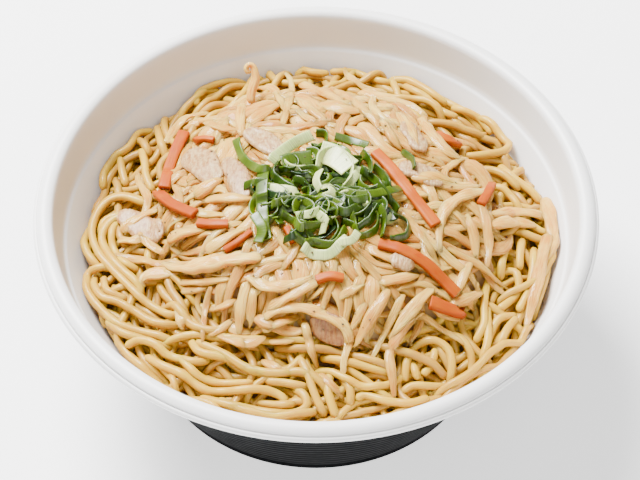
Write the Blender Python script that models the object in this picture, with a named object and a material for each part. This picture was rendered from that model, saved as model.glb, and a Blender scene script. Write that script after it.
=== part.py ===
"""Takeaway foam bowl of stir-fried noodles under bean sprouts, pork, carrot and spring onion.

Metres, +Z up. The origin is the middle of the bowl's base. The food rests in the bowl in this
order: noodles, sprouts, then pork and carrot strips and the spring onion on top. Each heap is a
core with its own strands fused on, and every node keeps GAP to its neighbours.
"""
import math
import random

import bmesh
import bpy
import numpy as np
from mathutils import Vector
from mathutils.bvhtree import BVHTree

MM = 0.001
GAP = 0.4 * MM

# Bowl: outer radius of the rim, whole height, and the heights and radii that shape its wall
RIM_RADIUS = 95.0 * MM
BOWL_HEIGHT = 70.0 * MM
RIM_UNDERSIDE = 66.0 * MM
RIM_ROLL = 3.4 * MM
LIP = 1.3 * MM
SHOULDER_RADIUS = 88.3 * MM
SHOULDER_HEIGHT = 69.0 * MM
LEDGE_HEIGHT = 55.6 * MM
LEDGE_OUTER = 85.9 * MM
LEDGE_INNER = 84.5 * MM
WALL = 2.0 * MM
FOOT_RADIUS = 60.0 * MM
FOOT_WIDTH = 9.0 * MM
FOOT_RECESS = 1.5 * MM
FLOOR_HEIGHT = 3.5 * MM
# Heights of the rings on the outside of the wall and on the inside of it
OUTER_RINGS = (12.0 * MM, 26.0 * MM, 40.0 * MM, 53.6 * MM)
INNER_RINGS = (46.0 * MM, 9.0 * MM)
CORNER_HEIGHT = 5.0 * MM
BOWL_SEGMENTS = 52
# Room between the bowl and the food that fills it
BOWL_ROOM = GAP + 0.3 * MM

# Noodle bed: its level at the wall and in the middle, and how far it leans up to the right
BED_EDGE = 47.0 * MM
BED_SIDE = 45.5 * MM
BED_CROWN = 57.0 * MM
BED_LEAN = 0.018
BED_SHARES = (0.98, 0.86, 0.72, 0.56, 0.38, 0.2, 0.0)
BED_SEGMENTS = 40
NOODLE_RADIUS = 1.35 * MM

# Sprout heap: the reach of its outline every 30 degrees, the crown, and the edge's thickness
SPROUT_REACH = [80, 77, 77, 77, 79, 68, 66, 60, 60, 57, 68, 74]
SPROUT_CORE_SHARE = 0.84
SPROUT_CROWN = 70.5 * MM
SPROUT_EDGE = 2.0 * MM
SPROUT_SHARES = (1.0, 0.86, 0.68, 0.48, 0.26)
SPROUT_SEGMENTS = 36
SPROUT_COUNT = 34
SPROUT_TRIES = 600
SPROUT_LENGTH = (24.0, 40.0)
SPROUT_RADIUS = (2.0, 2.8)
# Each try turns by one angle and takes the next share of the reach, so the sprouts spread evenly
SPROUT_TURN = 2.399963
SPROUT_STRIDE = 0.754878
# A sprout that would climb higher than this over the heap, at most or on average, is left out
SPROUT_CLIMB = 8.5 * MM
SPROUT_MEAN_CLIMB = 5.0 * MM
# The one sprout that stands up at the far side, from its foot to its curled head
STANDING_SPROUT = [(-19, 49, 60), (-20.5, 56, 67), (-22.5, 62, 71.5), (-21, 65.5, 71.5)]
STANDING_RADII = [1.8, 1.9, 2.6, 1.4]
SPROUT_SEED = 3

# Spring onion: middle of the garnish, the reach of its core and its height
ONION_MIDDLE = (3.0 * MM, 3.0 * MM)
ONION_REACH = 17.0 * MM
ONION_CROWN = 76.0 * MM
ONION_EDGE = 67.5 * MM
ONION_SHARES = (1.0, 0.75, 0.45)
ONION_SEGMENTS = 16

# Domes: how sharply they fall to their edge, their unevenness, and the depth of their base
DOME_POWER = 2.3
DOME_RIPPLE = 0.9 * MM
DOME_SKIRT = 9.0 * MM

# Strands: length of their straight stretches, sides, and how far they sink into core and kind
STRAND_STEP = 6.0 * MM
STRAND_SIDES = 5
SINK = 0.22
CROSSING = 0.82
SAMPLE = 1.0 * MM
SETTLE_ROUNDS = 14
LIFT_ROUNDS = 6
LIFT_SHARE = 0.7

# Noodles that run round the bed: start angle and radius, end angle and radius, and their wave
NOODLE_RUNS = [
    (192, 80, 236, 67, 1.5), (180, 80, 214, 62, 2.0), (196, 75, 224, 62, -1.5),
    (207, 79, 240, 70, 1.5), (214, 77, 262, 66, -2.0), (228, 62, 274, 62, 1.5),
    (231, 74, 272, 72, 1.0), (240, 79, 292, 79, -1.0), (268, 68, 300, 76, 1.5),
    (285, 78, 318, 77, 1.0), (349, 72, 312, 72, 2.5), (338, 80, 306, 80, -1.5),
    (176, 74, 146, 78, 2.0), (160, 70, 138, 81, -1.5), (132, 81, 104, 81, 1.0),
    (72, 81, 40, 81, 1.2),
]
# Noodles that turn back on themselves: middle, radius, start angle, turn, and length of tails
NOODLE_LOOPS = [
    (37, -59, 7.5, 200, -220, 6), (47, -56, 7.5, 120, -190, 6), (66, -27, 7.0, 60, -190, 8),
    (-69, 8, 8.5, 200, -190, 7), (-70, 33, 8.0, 215, -190, 6), (-71, -20, 6.5, 80, 150, 12),
    (62, 50, 8.0, 110, -150, 5), (-8, -71, 3.6, 260, 190, 14),
]

# Carrot strips: middle, heading, length, width and sideways bend
CARROTS = [
    (-49, 26, 98, 30, 4.4, 1.5), (-48, 4, 131, 20, 4.2, 0.6), (30, 9, -56, 36, 4.4, -1.0),
    (34, -24, -29, 30, 4.0, 2.2), (46, -38, -10, 12, 5.0, 0.4), (45, 37, -20, 9, 3.4, 0.3),
    (58, 15, -60, 9, 3.2, 0.4), (-36, -8, -8, 10, 3.2, 0.3),
]
CARROT_THICKNESS = 2.2 * MM
CARROT_GRID = (6, 2)

# Pork slices: middle, heading, length and width
PORK = [
    (-28, 11, -62, 22, 7.0), (-39.5, 14, -62, 20, 7), (-22, 34, -45, 15, 9),
    (43, 14, -25, 18, 8), (5, -51, -20, 17, 9), (-61, -2, -50, 18, 8),
]
PORK_THICKNESS = 1.8 * MM
PORK_WAVE = 0.8 * MM
PORK_BEND = 1.0 * MM
PORK_NARROW = 0.35
PORK_GRID = (7, 4)
# A topping's middle lies this share of its thickness above what it rests on, felt this far out
REST_SHARE = 0.62
FEEL = 1.6 * MM

# Spring onion curls, from the garnish's middle: place, radius, start, turn, width, lie or stand
ONION_CURLS = [
    (-14, 25, 13, 200, 140, 4.0, "lie"), (3, 10, 7.4, 20, 345, 3.4, "stand"),
    (14, 4, 6.0, 130, -260, 3.0, "stand"), (14, -6, 6.0, 200, 250, 3.0, "stand"),
    (-8, -12, 6.5, 60, 240, 3.0, "stand"), (4, -15, 6.0, 340, -230, 3.0, "stand"),
    (-2, 22, 6.0, 20, -190, 3.0, "stand"), (10, -14, 5.5, 170, 200, 2.6, "stand"),
    (-12, 2, 5.5, 100, 220, 3.0, "stand"),
]
# Straight cuts of the same leaf: place, heading, length and width
ONION_STRIPS = [
    (-20, -4, 92, 33, 4.2), (13, 1, -4, 21, 3.4), (-13, -1, 20, 11, 5.0), (1, -23, 12, 12, 4.5),
    (-4, -4, 40, 20, 3.2), (8, -8, -35, 20, 3.0),
]
ONION_THICKNESS = 1.2 * MM
ONION_STEP = 38
ONION_LEAN = 0.25
ONION_SINK = 0.5 * MM
ONION_POINTS = 6


def clear_scene():
    """Remove every object that the file opens with."""
    for obj in list(bpy.data.objects):
        bpy.data.objects.remove(obj, do_unlink=True)


def material(name, colour, roughness):
    """A Principled material of one colour."""
    made = bpy.data.materials.new(name)
    made.use_nodes = True
    shader = made.node_tree.nodes["Principled BSDF"]
    shader.inputs["Base Color"].default_value = (*colour, 1.0)
    shader.inputs["Roughness"].default_value = roughness
    shader.inputs["Metallic"].default_value = 0.0
    return made


def mesh_object(name, bm):
    """Put a bmesh into a new object in the scene, with its faces pointing out."""
    bmesh.ops.recalc_face_normals(bm, faces=bm.faces)
    mesh = bpy.data.meshes.new(name)
    bm.to_mesh(mesh)
    bm.free()
    obj = bpy.data.objects.new(name, mesh)
    bpy.context.scene.collection.objects.link(obj)
    return obj


def bake(obj):
    """Give the object the mesh that its modifiers make, and drop the modifiers."""
    bpy.context.view_layer.update()
    evaluated = obj.evaluated_get(bpy.context.evaluated_depsgraph_get())
    mesh = bpy.data.meshes.new_from_object(evaluated)
    obj.modifiers.clear()
    obj.data = mesh


def finish(obj, made, sharp=math.radians(40)):
    """Assign the material and shade the round parts smooth."""
    obj.data.materials.clear()
    obj.data.materials.append(made)
    obj.data.shade_smooth()
    obj.data.set_sharp_from_angle(angle=sharp)


def turned(name, profile, segments):
    """Spin a profile of (radius, height) points, from axis to axis, about the Z axis."""
    bm = bmesh.new()
    verts = [bm.verts.new((radius, 0.0, height)) for radius, height in profile]
    edges = [bm.edges.new(pair) for pair in zip(verts, verts[1:])]
    bmesh.ops.spin(bm, geom=verts + edges, cent=(0, 0, 0), axis=(0, 0, 1),
                   angle=math.tau, steps=segments, use_merge=True)
    bmesh.ops.remove_doubles(bm, verts=bm.verts, dist=0.01 * MM)
    return mesh_object(name, bm)


def arc(middle, radius, start, turn, count):
    """Points along a circular arc in a plane, with angles in degrees."""
    angles = np.radians(np.linspace(start, start + turn, count))
    return [(middle[0] + radius * math.cos(a), middle[1] + radius * math.sin(a)) for a in angles]


def inner_radius(height):
    """Radius of the bowl's inner wall below the ledge, a straight cone down to the floor."""
    share = (height - FLOOR_HEIGHT) / (LEDGE_HEIGHT - FLOOR_HEIGHT)
    foot = FOOT_RADIUS - WALL
    return foot + (LEDGE_INNER - foot) * share


def bowl_profile():
    """Closed section of the bowl from the underside of its foot over the rim to its floor."""
    foot_inner = FOOT_RADIUS - FOOT_WIDTH
    under = [(0, FOOT_RECESS), (foot_inner - FOOT_RECESS, FOOT_RECESS), (foot_inner, 0),
             (FOOT_RADIUS - 1.0 * MM, 0), (FOOT_RADIUS + 0.4 * MM, 1.2 * MM)]
    outer = [(inner_radius(height) + WALL, height) for height in OUTER_RINGS]
    upper_outer = [(LEDGE_OUTER + WALL, LEDGE_HEIGHT),
                   (SHOULDER_RADIUS + 1.2 * MM, RIM_UNDERSIDE - 0.4 * MM),
                   (SHOULDER_RADIUS + 2.0 * MM, RIM_UNDERSIDE)]
    roll_middle = (RIM_RADIUS - RIM_ROLL - 0.4 * MM, BOWL_HEIGHT - RIM_ROLL)
    lip = [(RIM_RADIUS, RIM_UNDERSIDE), (RIM_RADIUS, RIM_UNDERSIDE + LIP)]
    roll = arc(roll_middle, RIM_ROLL, 15, 105, 6)
    shoulder = [(SHOULDER_RADIUS + 1.0 * MM, SHOULDER_HEIGHT + 0.55 * MM),
                (SHOULDER_RADIUS, SHOULDER_HEIGHT - 0.6 * MM)]
    ledge = [(LEDGE_OUTER + 0.2 * MM, LEDGE_HEIGHT + 1.4 * MM),
             (LEDGE_OUTER - 0.3 * MM, LEDGE_HEIGHT + 0.3 * MM),
             (LEDGE_INNER, LEDGE_HEIGHT - 0.2 * MM)]
    inner = [(inner_radius(height), height) for height in INNER_RINGS]
    corner = inner_radius(CORNER_HEIGHT)
    floor = [(corner - 3.5 * MM, FLOOR_HEIGHT + 0.6 * MM), (corner - 9.0 * MM, FLOOR_HEIGHT),
             (0, FLOOR_HEIGHT)]
    return under + outer + upper_outer + lip + roll + shoulder + ledge + inner + floor


def bed_reach():
    """Radius of the noodle bed where it meets the wall."""
    return inner_radius(BED_SIDE) - BOWL_ROOM


def bed_height(x, y):
    """Top of the noodle bed: highest in the middle, and a little higher to the right."""
    share = min(1.0, math.hypot(x, y) / inner_radius(BED_EDGE))
    return BED_EDGE + (BED_CROWN - BED_EDGE) * (1.0 - share ** 2) + BED_LEAN * x


def noodle_bed(name, proud=0.0):
    """Solid that fills the bowl up to the bed's height, or stands a little proud of it."""
    corner = inner_radius(CORNER_HEIGHT) - 10.0 * MM
    profile = [(0, FLOOR_HEIGHT + BOWL_ROOM), (corner, FLOOR_HEIGHT + BOWL_ROOM),
               (inner_radius(11 * MM) - BOWL_ROOM - 1.0 * MM, 11 * MM), (bed_reach(), BED_SIDE)]
    for share in BED_SHARES:
        radius = bed_reach() * share
        profile.append((radius, bed_height(radius, 0) - BED_LEAN * radius + proud))
    obj = turned(name, profile, BED_SEGMENTS)
    for vert in obj.data.vertices:
        if vert.co.z > BED_EDGE - 1.0 * MM:
            vert.co.z += BED_LEAN * vert.co.x
    return obj


def sprout_reach(angle):
    """Radius of the sprout heap's outline at an angle, smooth between its twelve values."""
    place = (angle % math.tau) / math.tau * len(SPROUT_REACH)
    low = int(place) % len(SPROUT_REACH)
    high = (low + 1) % len(SPROUT_REACH)
    blend = 0.5 - 0.5 * math.cos(math.pi * (place - int(place)))
    return (SPROUT_REACH[low] * (1 - blend) + SPROUT_REACH[high] * blend) * MM


def dome(name, middle, reach, crown, edge_height, shares, segments, proud=0.0):
    """Closed dome over an uneven outline, with a deep base that is cut to fit what carries it."""
    bm = bmesh.new()
    rings = []
    for share in shares:
        ring = []
        for step in range(segments):
            angle = math.tau * step / segments
            radius = reach(angle) * share
            x = middle[0] + radius * math.cos(angle)
            y = middle[1] + radius * math.sin(angle)
            edge = edge_height(x, y)
            swell = 1.0 - share ** DOME_POWER
            ripple = DOME_RIPPLE * math.sin(5 * angle + 9 * share) * share
            z = edge + (crown - edge) * swell + ripple * swell + proud
            ring.append(bm.verts.new((x, y, z)))
        rings.append(ring)
    skirt = [bm.verts.new((vert.co.x, vert.co.y, vert.co.z - DOME_SKIRT)) for vert in rings[0]]
    top = bm.verts.new((middle[0], middle[1], crown + proud))
    bottom = bm.verts.new((middle[0], middle[1], skirt[0].co.z))
    bands = [skirt] + rings
    for low, high in zip(bands, bands[1:]):
        for step in range(segments):
            after = (step + 1) % segments
            bm.faces.new((low[step], low[after], high[after]))
            bm.faces.new((low[step], high[after], high[step]))
    for step in range(segments):
        after = (step + 1) % segments
        bm.faces.new((rings[-1][step], rings[-1][after], top))
        bm.faces.new((skirt[after], skirt[step], bottom))
    return mesh_object(name, bm)


def sprout_core(name, proud=0.0):
    """Dome of the sprout heap, inside its outline."""
    return dome(name, (0.0, 0.0), lambda angle: SPROUT_CORE_SHARE * sprout_reach(angle), SPROUT_CROWN,
                lambda x, y: bed_height(x, y) + SPROUT_EDGE, SPROUT_SHARES, SPROUT_SEGMENTS, proud)


def onion_core(name):
    """Low mound in the middle of the garnish."""
    return dome(name, ONION_MIDDLE, lambda angle: ONION_REACH * (1 + 0.12 * math.sin(3 * angle + 1)),
                ONION_CROWN, lambda x, y: ONION_EDGE, ONION_SHARES, ONION_SEGMENTS)


def cut(obj, cutter):
    """Take the cutter's shape out of the object, then remove the cutter."""
    modifier = obj.modifiers.new("fit", "BOOLEAN")
    modifier.operation = "DIFFERENCE"
    modifier.object = cutter
    bake(obj)
    bpy.data.objects.remove(cutter, do_unlink=True)


def keep_largest(obj):
    """Keep the one body that holds the most, without scraps and sealed hollows."""
    bm = bmesh.new()
    bm.from_mesh(obj.data)
    bmesh.ops.triangulate(bm, faces=bm.faces)
    bmesh.ops.remove_doubles(bm, verts=bm.verts, dist=0.001 * MM)
    left = set(bm.faces)
    bodies = []
    while left:
        body = set()
        front = [left.pop()]
        while front:
            face = front.pop()
            body.add(face)
            for edge in face.edges:
                near = [other for other in edge.link_faces if other in left]
                left.difference_update(near)
                front.extend(near)
        bodies.append(body)
    bodies.sort(key=len, reverse=True)
    scraps = [face for body in bodies[1:] for face in body]
    bmesh.ops.delete(bm, geom=scraps, context="FACES")
    bm.to_mesh(obj.data)
    bm.free()


def fuse(core, pieces):
    """Join the pieces to their core as one closed body."""
    group = bpy.data.collections.new(core.name + "_pieces")
    bpy.context.scene.collection.children.link(group)
    for piece in pieces:
        bpy.context.scene.collection.objects.unlink(piece)
        group.objects.link(piece)
    modifier = core.modifiers.new("pieces", "BOOLEAN")
    modifier.operation = "UNION"
    modifier.operand_type = "COLLECTION"
    modifier.collection = group
    modifier.solver = "MANIFOLD"
    bake(core)
    for piece in pieces:
        bpy.data.objects.remove(piece, do_unlink=True)
    bpy.data.collections.remove(group)
    keep_largest(core)


def tree_of(obj):
    """Search tree of an object's faces, for heights on it."""
    bm = bmesh.new()
    bm.from_mesh(obj.data)
    bmesh.ops.triangulate(bm, faces=bm.faces)
    tree = BVHTree.FromBMesh(bm)
    bm.free()
    return tree


def height_on(tree, x, y, reach=0.0):
    """Highest point of a surface at a place, or within a small reach of it."""
    best = -1.0
    for dx, dy in ((0, 0), (reach, 0), (-reach, 0), (0, reach), (0, -reach)):
        hit = tree.ray_cast(Vector((x + dx, y + dy, 0.2)), Vector((0, 0, -1)))[0]
        if hit is not None:
            best = max(best, hit.z)
    return best


def resample(points, spacing):
    """Even points along a polyline of two or three coordinates."""
    points = np.asarray(points, dtype=float)
    steps = np.linalg.norm(np.diff(points, axis=0), axis=1)
    along = np.concatenate([[0.0], np.cumsum(steps)])
    count = max(3, int(round(along[-1] / spacing)) + 1)
    wanted = np.linspace(0.0, along[-1], count)
    return np.column_stack([np.interp(wanted, along, points[:, k]) for k in range(points.shape[1])])


def settle(plan, radii, own_tree, under_tree, own, others):
    """Rest a strand on its core, across its own kind, and GAP clear of every other node."""
    heights = []
    for (x, y), radius in zip(plan, radii):
        floor = height_on(own_tree, x, y) + radius * (1 - SINK)
        if under_tree is not None:
            floor = max(floor, height_on(under_tree, x, y, radius) + radius + GAP)
        for balls, share, extra in ((own, CROSSING, 0.0), (others, 1.0, GAP)):
            if len(balls) == 0:
                continue
            apart = (balls[:, 0] - x) ** 2 + (balls[:, 1] - y) ** 2
            touch = (share * (balls[:, 3] + radius) + extra) ** 2
            near = apart < touch
            if near.any():
                floor = max(floor, float((balls[near, 2] + np.sqrt(touch[near] - apart[near])).max()))
        heights.append(floor)
    needed = np.array(heights)
    smooth = needed.copy()
    for _ in range(SETTLE_ROUNDS):
        middle = 0.25 * smooth[:-2] + 0.5 * smooth[1:-1] + 0.25 * smooth[2:]
        smooth[1:-1] = np.maximum(needed[1:-1], middle)
    return smooth, needed


def thinned(path, radii, keep_above):
    """Fewer points for a strand's mesh, raised so that its straight stretches clear what is under."""
    count = max(3, int(round((len(path) - 1) * SAMPLE / STRAND_STEP)) + 1)
    picks = np.unique(np.round(np.linspace(0, len(path) - 1, count)).astype(int))
    heights = path[picks, 2].copy()
    for _ in range(LIFT_ROUNDS):
        line = np.interp(np.arange(len(path)), picks, heights)
        short = np.maximum(0.0, keep_above - line)
        for k in range(len(picks)):
            low = picks[max(0, k - 1)]
            high = picks[min(len(picks) - 1, k + 1)]
            heights[k] += LIFT_SHARE * short[low:high + 1].max()
    coarse = path[picks].copy()
    coarse[:, 2] = heights
    return coarse, radii[picks]


def strand_section():
    """The polygon of radius one that every strand is swept from."""
    if "strand_section" in bpy.data.objects:
        return bpy.data.objects["strand_section"]
    curve = bpy.data.curves.new("strand_section", "CURVE")
    spline = curve.splines.new("POLY")
    spline.points.add(STRAND_SIDES - 1)
    spline.use_cyclic_u = True
    for point, (x, y) in zip(spline.points, arc((0, 0), 1.0, 0, 360, STRAND_SIDES + 1)):
        point.co = (x, y, 0.0, 1.0)
    section = bpy.data.objects.new("strand_section", curve)
    bpy.context.scene.collection.objects.link(section)
    return section


def strand(name, path, radii):
    """Tube of a few sides along a path, with its own radius at each point."""
    curve = bpy.data.curves.new(name, "CURVE")
    curve.dimensions = "3D"
    curve.bevel_mode = "OBJECT"
    curve.bevel_object = strand_section()
    curve.use_fill_caps = True
    spline = curve.splines.new("POLY")
    spline.points.add(len(path) - 1)
    for point, place, radius in zip(spline.points, path, radii):
        point.co = (*place, 1.0)
        point.radius = radius
    guide = bpy.data.objects.new(name + "_curve", curve)
    bpy.context.scene.collection.objects.link(guide)
    bpy.context.view_layer.update()
    evaluated = guide.evaluated_get(bpy.context.evaluated_depsgraph_get())
    mesh = bpy.data.meshes.new_from_object(evaluated)
    bpy.data.objects.remove(guide, do_unlink=True)
    bm = bmesh.new()
    bm.from_mesh(mesh)
    bmesh.ops.remove_doubles(bm, verts=bm.verts, dist=0.005 * MM)
    return mesh_object(name, bm)


def sheet(name, grid, thickness):
    """Thin body from a grid of points, both faces split into triangles alike."""
    bm = bmesh.new()
    rows = [[bm.verts.new(point) for point in row] for row in grid]
    for low, high in zip(rows, rows[1:]):
        for k in range(len(low) - 1):
            bm.faces.new((low[k], low[k + 1], high[k + 1], high[k]))
    bmesh.ops.triangulate(bm, faces=bm.faces)
    mesh = bpy.data.meshes.new(name)
    bm.to_mesh(mesh)
    bm.free()
    obj = bpy.data.objects.new(name, mesh)
    bpy.context.scene.collection.objects.link(obj)
    modifier = obj.modifiers.new("thickness", "SOLIDIFY")
    modifier.thickness = thickness
    modifier.offset = 0.0
    bake(obj)
    return obj


def noodle_plans():
    """Plan routes of the noodles that show, in the bowl's frame."""
    plans = []
    for start, start_reach, end, end_reach, wave in NOODLE_RUNS:
        share = np.linspace(0, 1, 60)
        angle = np.radians(start + (end - start) * share)
        reach = start_reach + (end_reach - start_reach) * share + wave * np.sin(math.tau * 1.5 * share)
        plans.append(np.column_stack([reach * np.cos(angle), reach * np.sin(angle)]) * MM)
    for x, y, radius, start, turn, tail in NOODLE_LOOPS:
        curve = np.array(arc((x, y), radius, start, turn, 40))
        first = curve[0] + (curve[0] - curve[1]) / np.linalg.norm(curve[0] - curve[1]) * tail
        last = curve[-1] + (curve[-1] - curve[-2]) / np.linalg.norm(curve[-1] - curve[-2]) * tail
        plans.append(np.vstack([first, curve, last]) * MM)
    return plans


def inside_bowl(plan, radius):
    """Draw a plan route in where it would meet the bowl's wall."""
    wall = inner_radius(BED_EDGE + BED_LEAN * plan[:, 0]) - radius - GAP - 1.0 * MM
    limit = np.minimum(wall, 0.985 * bed_reach())
    reach = np.maximum(np.linalg.norm(plan, axis=1), 1e-9)
    return plan * np.minimum(1.0, limit / reach)[:, None]


def free_stretch(plan, radius, toppings):
    """Longest stretch of a route that keeps clear of the sprout core's edge and the toppings."""
    free = []
    for x, y in plan:
        edge = SPROUT_CORE_SHARE * sprout_reach(math.atan2(y, x))
        apart = np.hypot(toppings[:, 0] - x, toppings[:, 1] - y) - toppings[:, 3]
        room = min(math.hypot(x, y) - edge - 0.5 * MM, apart.min())
        free.append(room > radius + GAP)
    best = (0, 0)
    start = None
    for k, good in enumerate(free + [False]):
        if good and start is None:
            start = k
        if not good and start is not None:
            best = max(best, (start, k), key=lambda span: span[1] - span[0])
            start = None
    return plan[best[0]:best[1]]


def add_strand(name, plan, radii, trees, own, others):
    """Settle one strand along its plan; give its body and the spheres that stand for it."""
    heights, needed = settle(plan, radii, trees[0], trees[1], own, others)
    path, path_radii = thinned(np.column_stack([plan, heights]), radii, needed)
    fine = resample(np.column_stack([path, path_radii]), SAMPLE)
    return strand(name, path, path_radii), fine


def make_noodles(core, tree, toppings):
    """Fuse the noodles that show to their bed, and give the spheres that stand for them."""
    pieces = []
    own = np.zeros((0, 4))
    for index, plan in enumerate(noodle_plans()):
        plan = free_stretch(inside_bowl(plan, NOODLE_RADIUS), NOODLE_RADIUS, toppings)
        plan = resample(plan, SAMPLE)
        radii = np.full(len(plan), NOODLE_RADIUS)
        piece, balls = add_strand(f"noodle_{index}", plan, radii, (tree, None), own, np.zeros((0, 4)))
        pieces.append(piece)
        own = np.vstack([own, balls])
    fuse(core, pieces)
    finish(core, material("noodle", (0.72, 0.50, 0.22), 0.45))
    return own


def draped(middle, heading, length, width, bend, trees, thickness, size, wave=0.0):
    """Grid of points for a slice or strip that lies GAP above the bare cores."""
    rows, columns = size
    along = Vector((math.cos(math.radians(heading)), math.sin(math.radians(heading))))
    across = Vector((-along.y, along.x))
    grid = []
    for row in range(rows):
        s = row / (rows - 1) - 0.5
        swing = bend * math.cos(math.pi * s)
        narrow = 1.0 - PORK_NARROW * (2 * s) ** 4 if wave else 1.0
        line = []
        for column in range(columns):
            t = column / (columns - 1) - 0.5
            place = Vector(middle) + along * (s * length) + across * (t * width * narrow + swing)
            lift = wave * (1 + math.sin(9 * s + 4 * t + middle[0] / MM))
            floor = max(height_on(tree, place.x, place.y, FEEL) for tree in trees)
            line.append((place.x, place.y, floor + GAP + REST_SHARE * thickness + lift))
        grid.append(line)
    return grid


def make_toppings(trees):
    """Carrot strips and pork slices on the bare cores, each its own node."""
    balls = []
    orange = material("carrot", (0.80, 0.22, 0.05), 0.4)
    pink = material("pork", (0.62, 0.40, 0.28), 0.5)
    for index, (x, y, heading, length, width, bend) in enumerate(CARROTS, 1):
        grid = draped((x * MM, y * MM), heading, length * MM, width * MM, bend * MM, trees,
                      CARROT_THICKNESS, CARROT_GRID)
        finish(sheet(f"carrot_{index}", grid, CARROT_THICKNESS), orange)
        balls.append(grid_balls(grid, CARROT_THICKNESS))
    for index, (x, y, heading, length, width) in enumerate(PORK, 1):
        grid = draped((x * MM, y * MM), heading, length * MM, width * MM, PORK_BEND, trees,
                      PORK_THICKNESS, PORK_GRID, PORK_WAVE)
        finish(sheet(f"pork_{index}", grid, PORK_THICKNESS), pink)
        balls.append(grid_balls(grid, PORK_THICKNESS))
    return np.vstack(balls)


def grid_balls(grid, thickness):
    """Spheres all over a thin body, for fitting strands round it."""
    points = np.array(grid)
    balls = []
    for low, high in zip(points, points[1:]):
        for share in (0.0, 0.25, 0.5, 0.75):
            line = resample(low * (1 - share) + high * share, 1.2 * MM)
            balls.append(line)
    balls.append(resample(points[-1], 1.2 * MM))
    joined = np.vstack(balls)
    return np.column_stack([joined, np.full(len(joined), REST_SHARE * thickness)])


def onion_plans():
    """Plan route, width and pose of each curl and each straight cut of the garnish."""
    plans = []
    for x, y, radius, start, turn, width, pose in ONION_CURLS:
        count = max(ONION_POINTS, int(abs(turn) / ONION_STEP))
        plans.append((np.array(arc((x, y), radius, start, turn, count)) * MM, width * MM, pose))
    for x, y, heading, length, width in ONION_STRIPS:
        along = np.array([math.cos(math.radians(heading)), math.sin(math.radians(heading))])
        last = ONION_POINTS - 1
        line = [(x, y) + along * length * (k / last - 0.5) for k in range(ONION_POINTS)]
        plans.append((np.array(line) * MM, width * MM, "lie"))
    return [(plan + np.array(ONION_MIDDLE), width, pose) for plan, width, pose in plans]


def onion_grid(plan, width, pose, own_tree, under_tree):
    """Grid of points of one curl or cut, standing on its edge or lying flat on the mound."""
    grid = []
    for k, (x, y) in enumerate(plan):
        floor = max(height_on(own_tree, x, y) - ONION_SINK,
                    height_on(under_tree, x, y, 0.5 * width) + BOWL_ROOM)
        step = plan[min(k + 1, len(plan) - 1)] - plan[max(k - 1, 0)]
        side = np.array([-step[1], step[0]]) / np.linalg.norm(step)
        if pose == "stand":
            rise = np.array([ONION_LEAN * side[0], ONION_LEAN * side[1], 1.0]) * width
            base = np.array([x, y, floor])
            grid.append([tuple(base), tuple(base + rise)])
        else:
            edge = np.array([side[0], side[1], 0.0]) * 0.5 * width
            base = np.array([x, y, floor + 0.5 * ONION_THICKNESS + GAP])
            grid.append([tuple(base - edge), tuple(base + edge)])
    return grid


def make_onion(tree):
    """The spring onion: its mound with curls and cut strips fused on."""
    core = onion_core("spring_onion")
    cut(core, sprout_core("onion_seat", GAP))
    own_tree = tree_of(core)
    pieces = []
    balls = []
    for index, (plan, width, pose) in enumerate(onion_plans()):
        grid = onion_grid(plan, width, pose, own_tree, tree)
        pieces.append(sheet(f"onion_{index}", grid, ONION_THICKNESS))
        balls.append(grid_balls(grid, ONION_THICKNESS))
    fuse(core, pieces)
    finish(core, material("spring_onion", (0.16, 0.42, 0.06), 0.4))
    return np.vstack(balls)


def sprout_plan(index, chance):
    """Plan route and radii of one sprout: gently curved, thick near its head, thin at its tail."""
    angle = SPROUT_TURN * index
    reach = sprout_reach(angle) * math.sqrt(0.08 + 0.88 * ((index * SPROUT_STRIDE) % 1.0))
    heading = angle + math.pi / 2 + chance.uniform(-1.1, 1.1)
    length = chance.uniform(*SPROUT_LENGTH) * MM
    radius = chance.uniform(*SPROUT_RADIUS) * MM
    curl = chance.uniform(-1.0, 1.0)
    share = np.linspace(-0.5, 0.5, max(10, int(length / MM)))
    bearing = heading + curl * share
    step = length / (len(share) - 1)
    plan = np.cumsum(np.column_stack([np.cos(bearing), np.sin(bearing)]) * step, axis=0)
    plan += np.array([math.cos(angle), math.sin(angle)]) * reach - plan[len(plan) // 2]
    return plan, radius * (0.55 + 0.45 * np.sin(math.pi * np.clip(share + 0.62, 0, 1)))


def make_sprouts(core, tree, bed_tree, others):
    """Fuse the sprouts that show to their core, clear of the other nodes."""
    chance = random.Random(SPROUT_SEED)
    own = np.zeros((0, 4))
    pieces = []
    for index in range(1, SPROUT_TRIES + 1):
        if len(pieces) == SPROUT_COUNT:
            break
        plan, radii = sprout_plan(index, chance)
        reaches = np.linalg.norm(plan, axis=1)
        limits = np.array([sprout_reach(math.atan2(y, x)) for x, y in plan])
        if (reaches > np.minimum(limits, bed_reach() - radii.max())).any():
            continue
        heights, needed = settle(plan, radii, tree, bed_tree, own, others)
        bare = np.array([max(height_on(tree, x, y), height_on(bed_tree, x, y)) for x, y in plan])
        if (needed - bare).max() > SPROUT_CLIMB or (heights - bare).mean() > SPROUT_MEAN_CLIMB:
            continue
        piece, balls = add_strand(f"sprout_{len(pieces)}", plan, radii, (tree, bed_tree), own, others)
        pieces.append(piece)
        own = np.vstack([own, balls])
    standing = np.array(STANDING_SPROUT) * MM
    pieces.append(strand("standing", standing, np.array(STANDING_RADII) * MM))
    fuse(core, pieces)
    finish(core, material("sprout", (0.78, 0.60, 0.42), 0.35))


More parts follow.
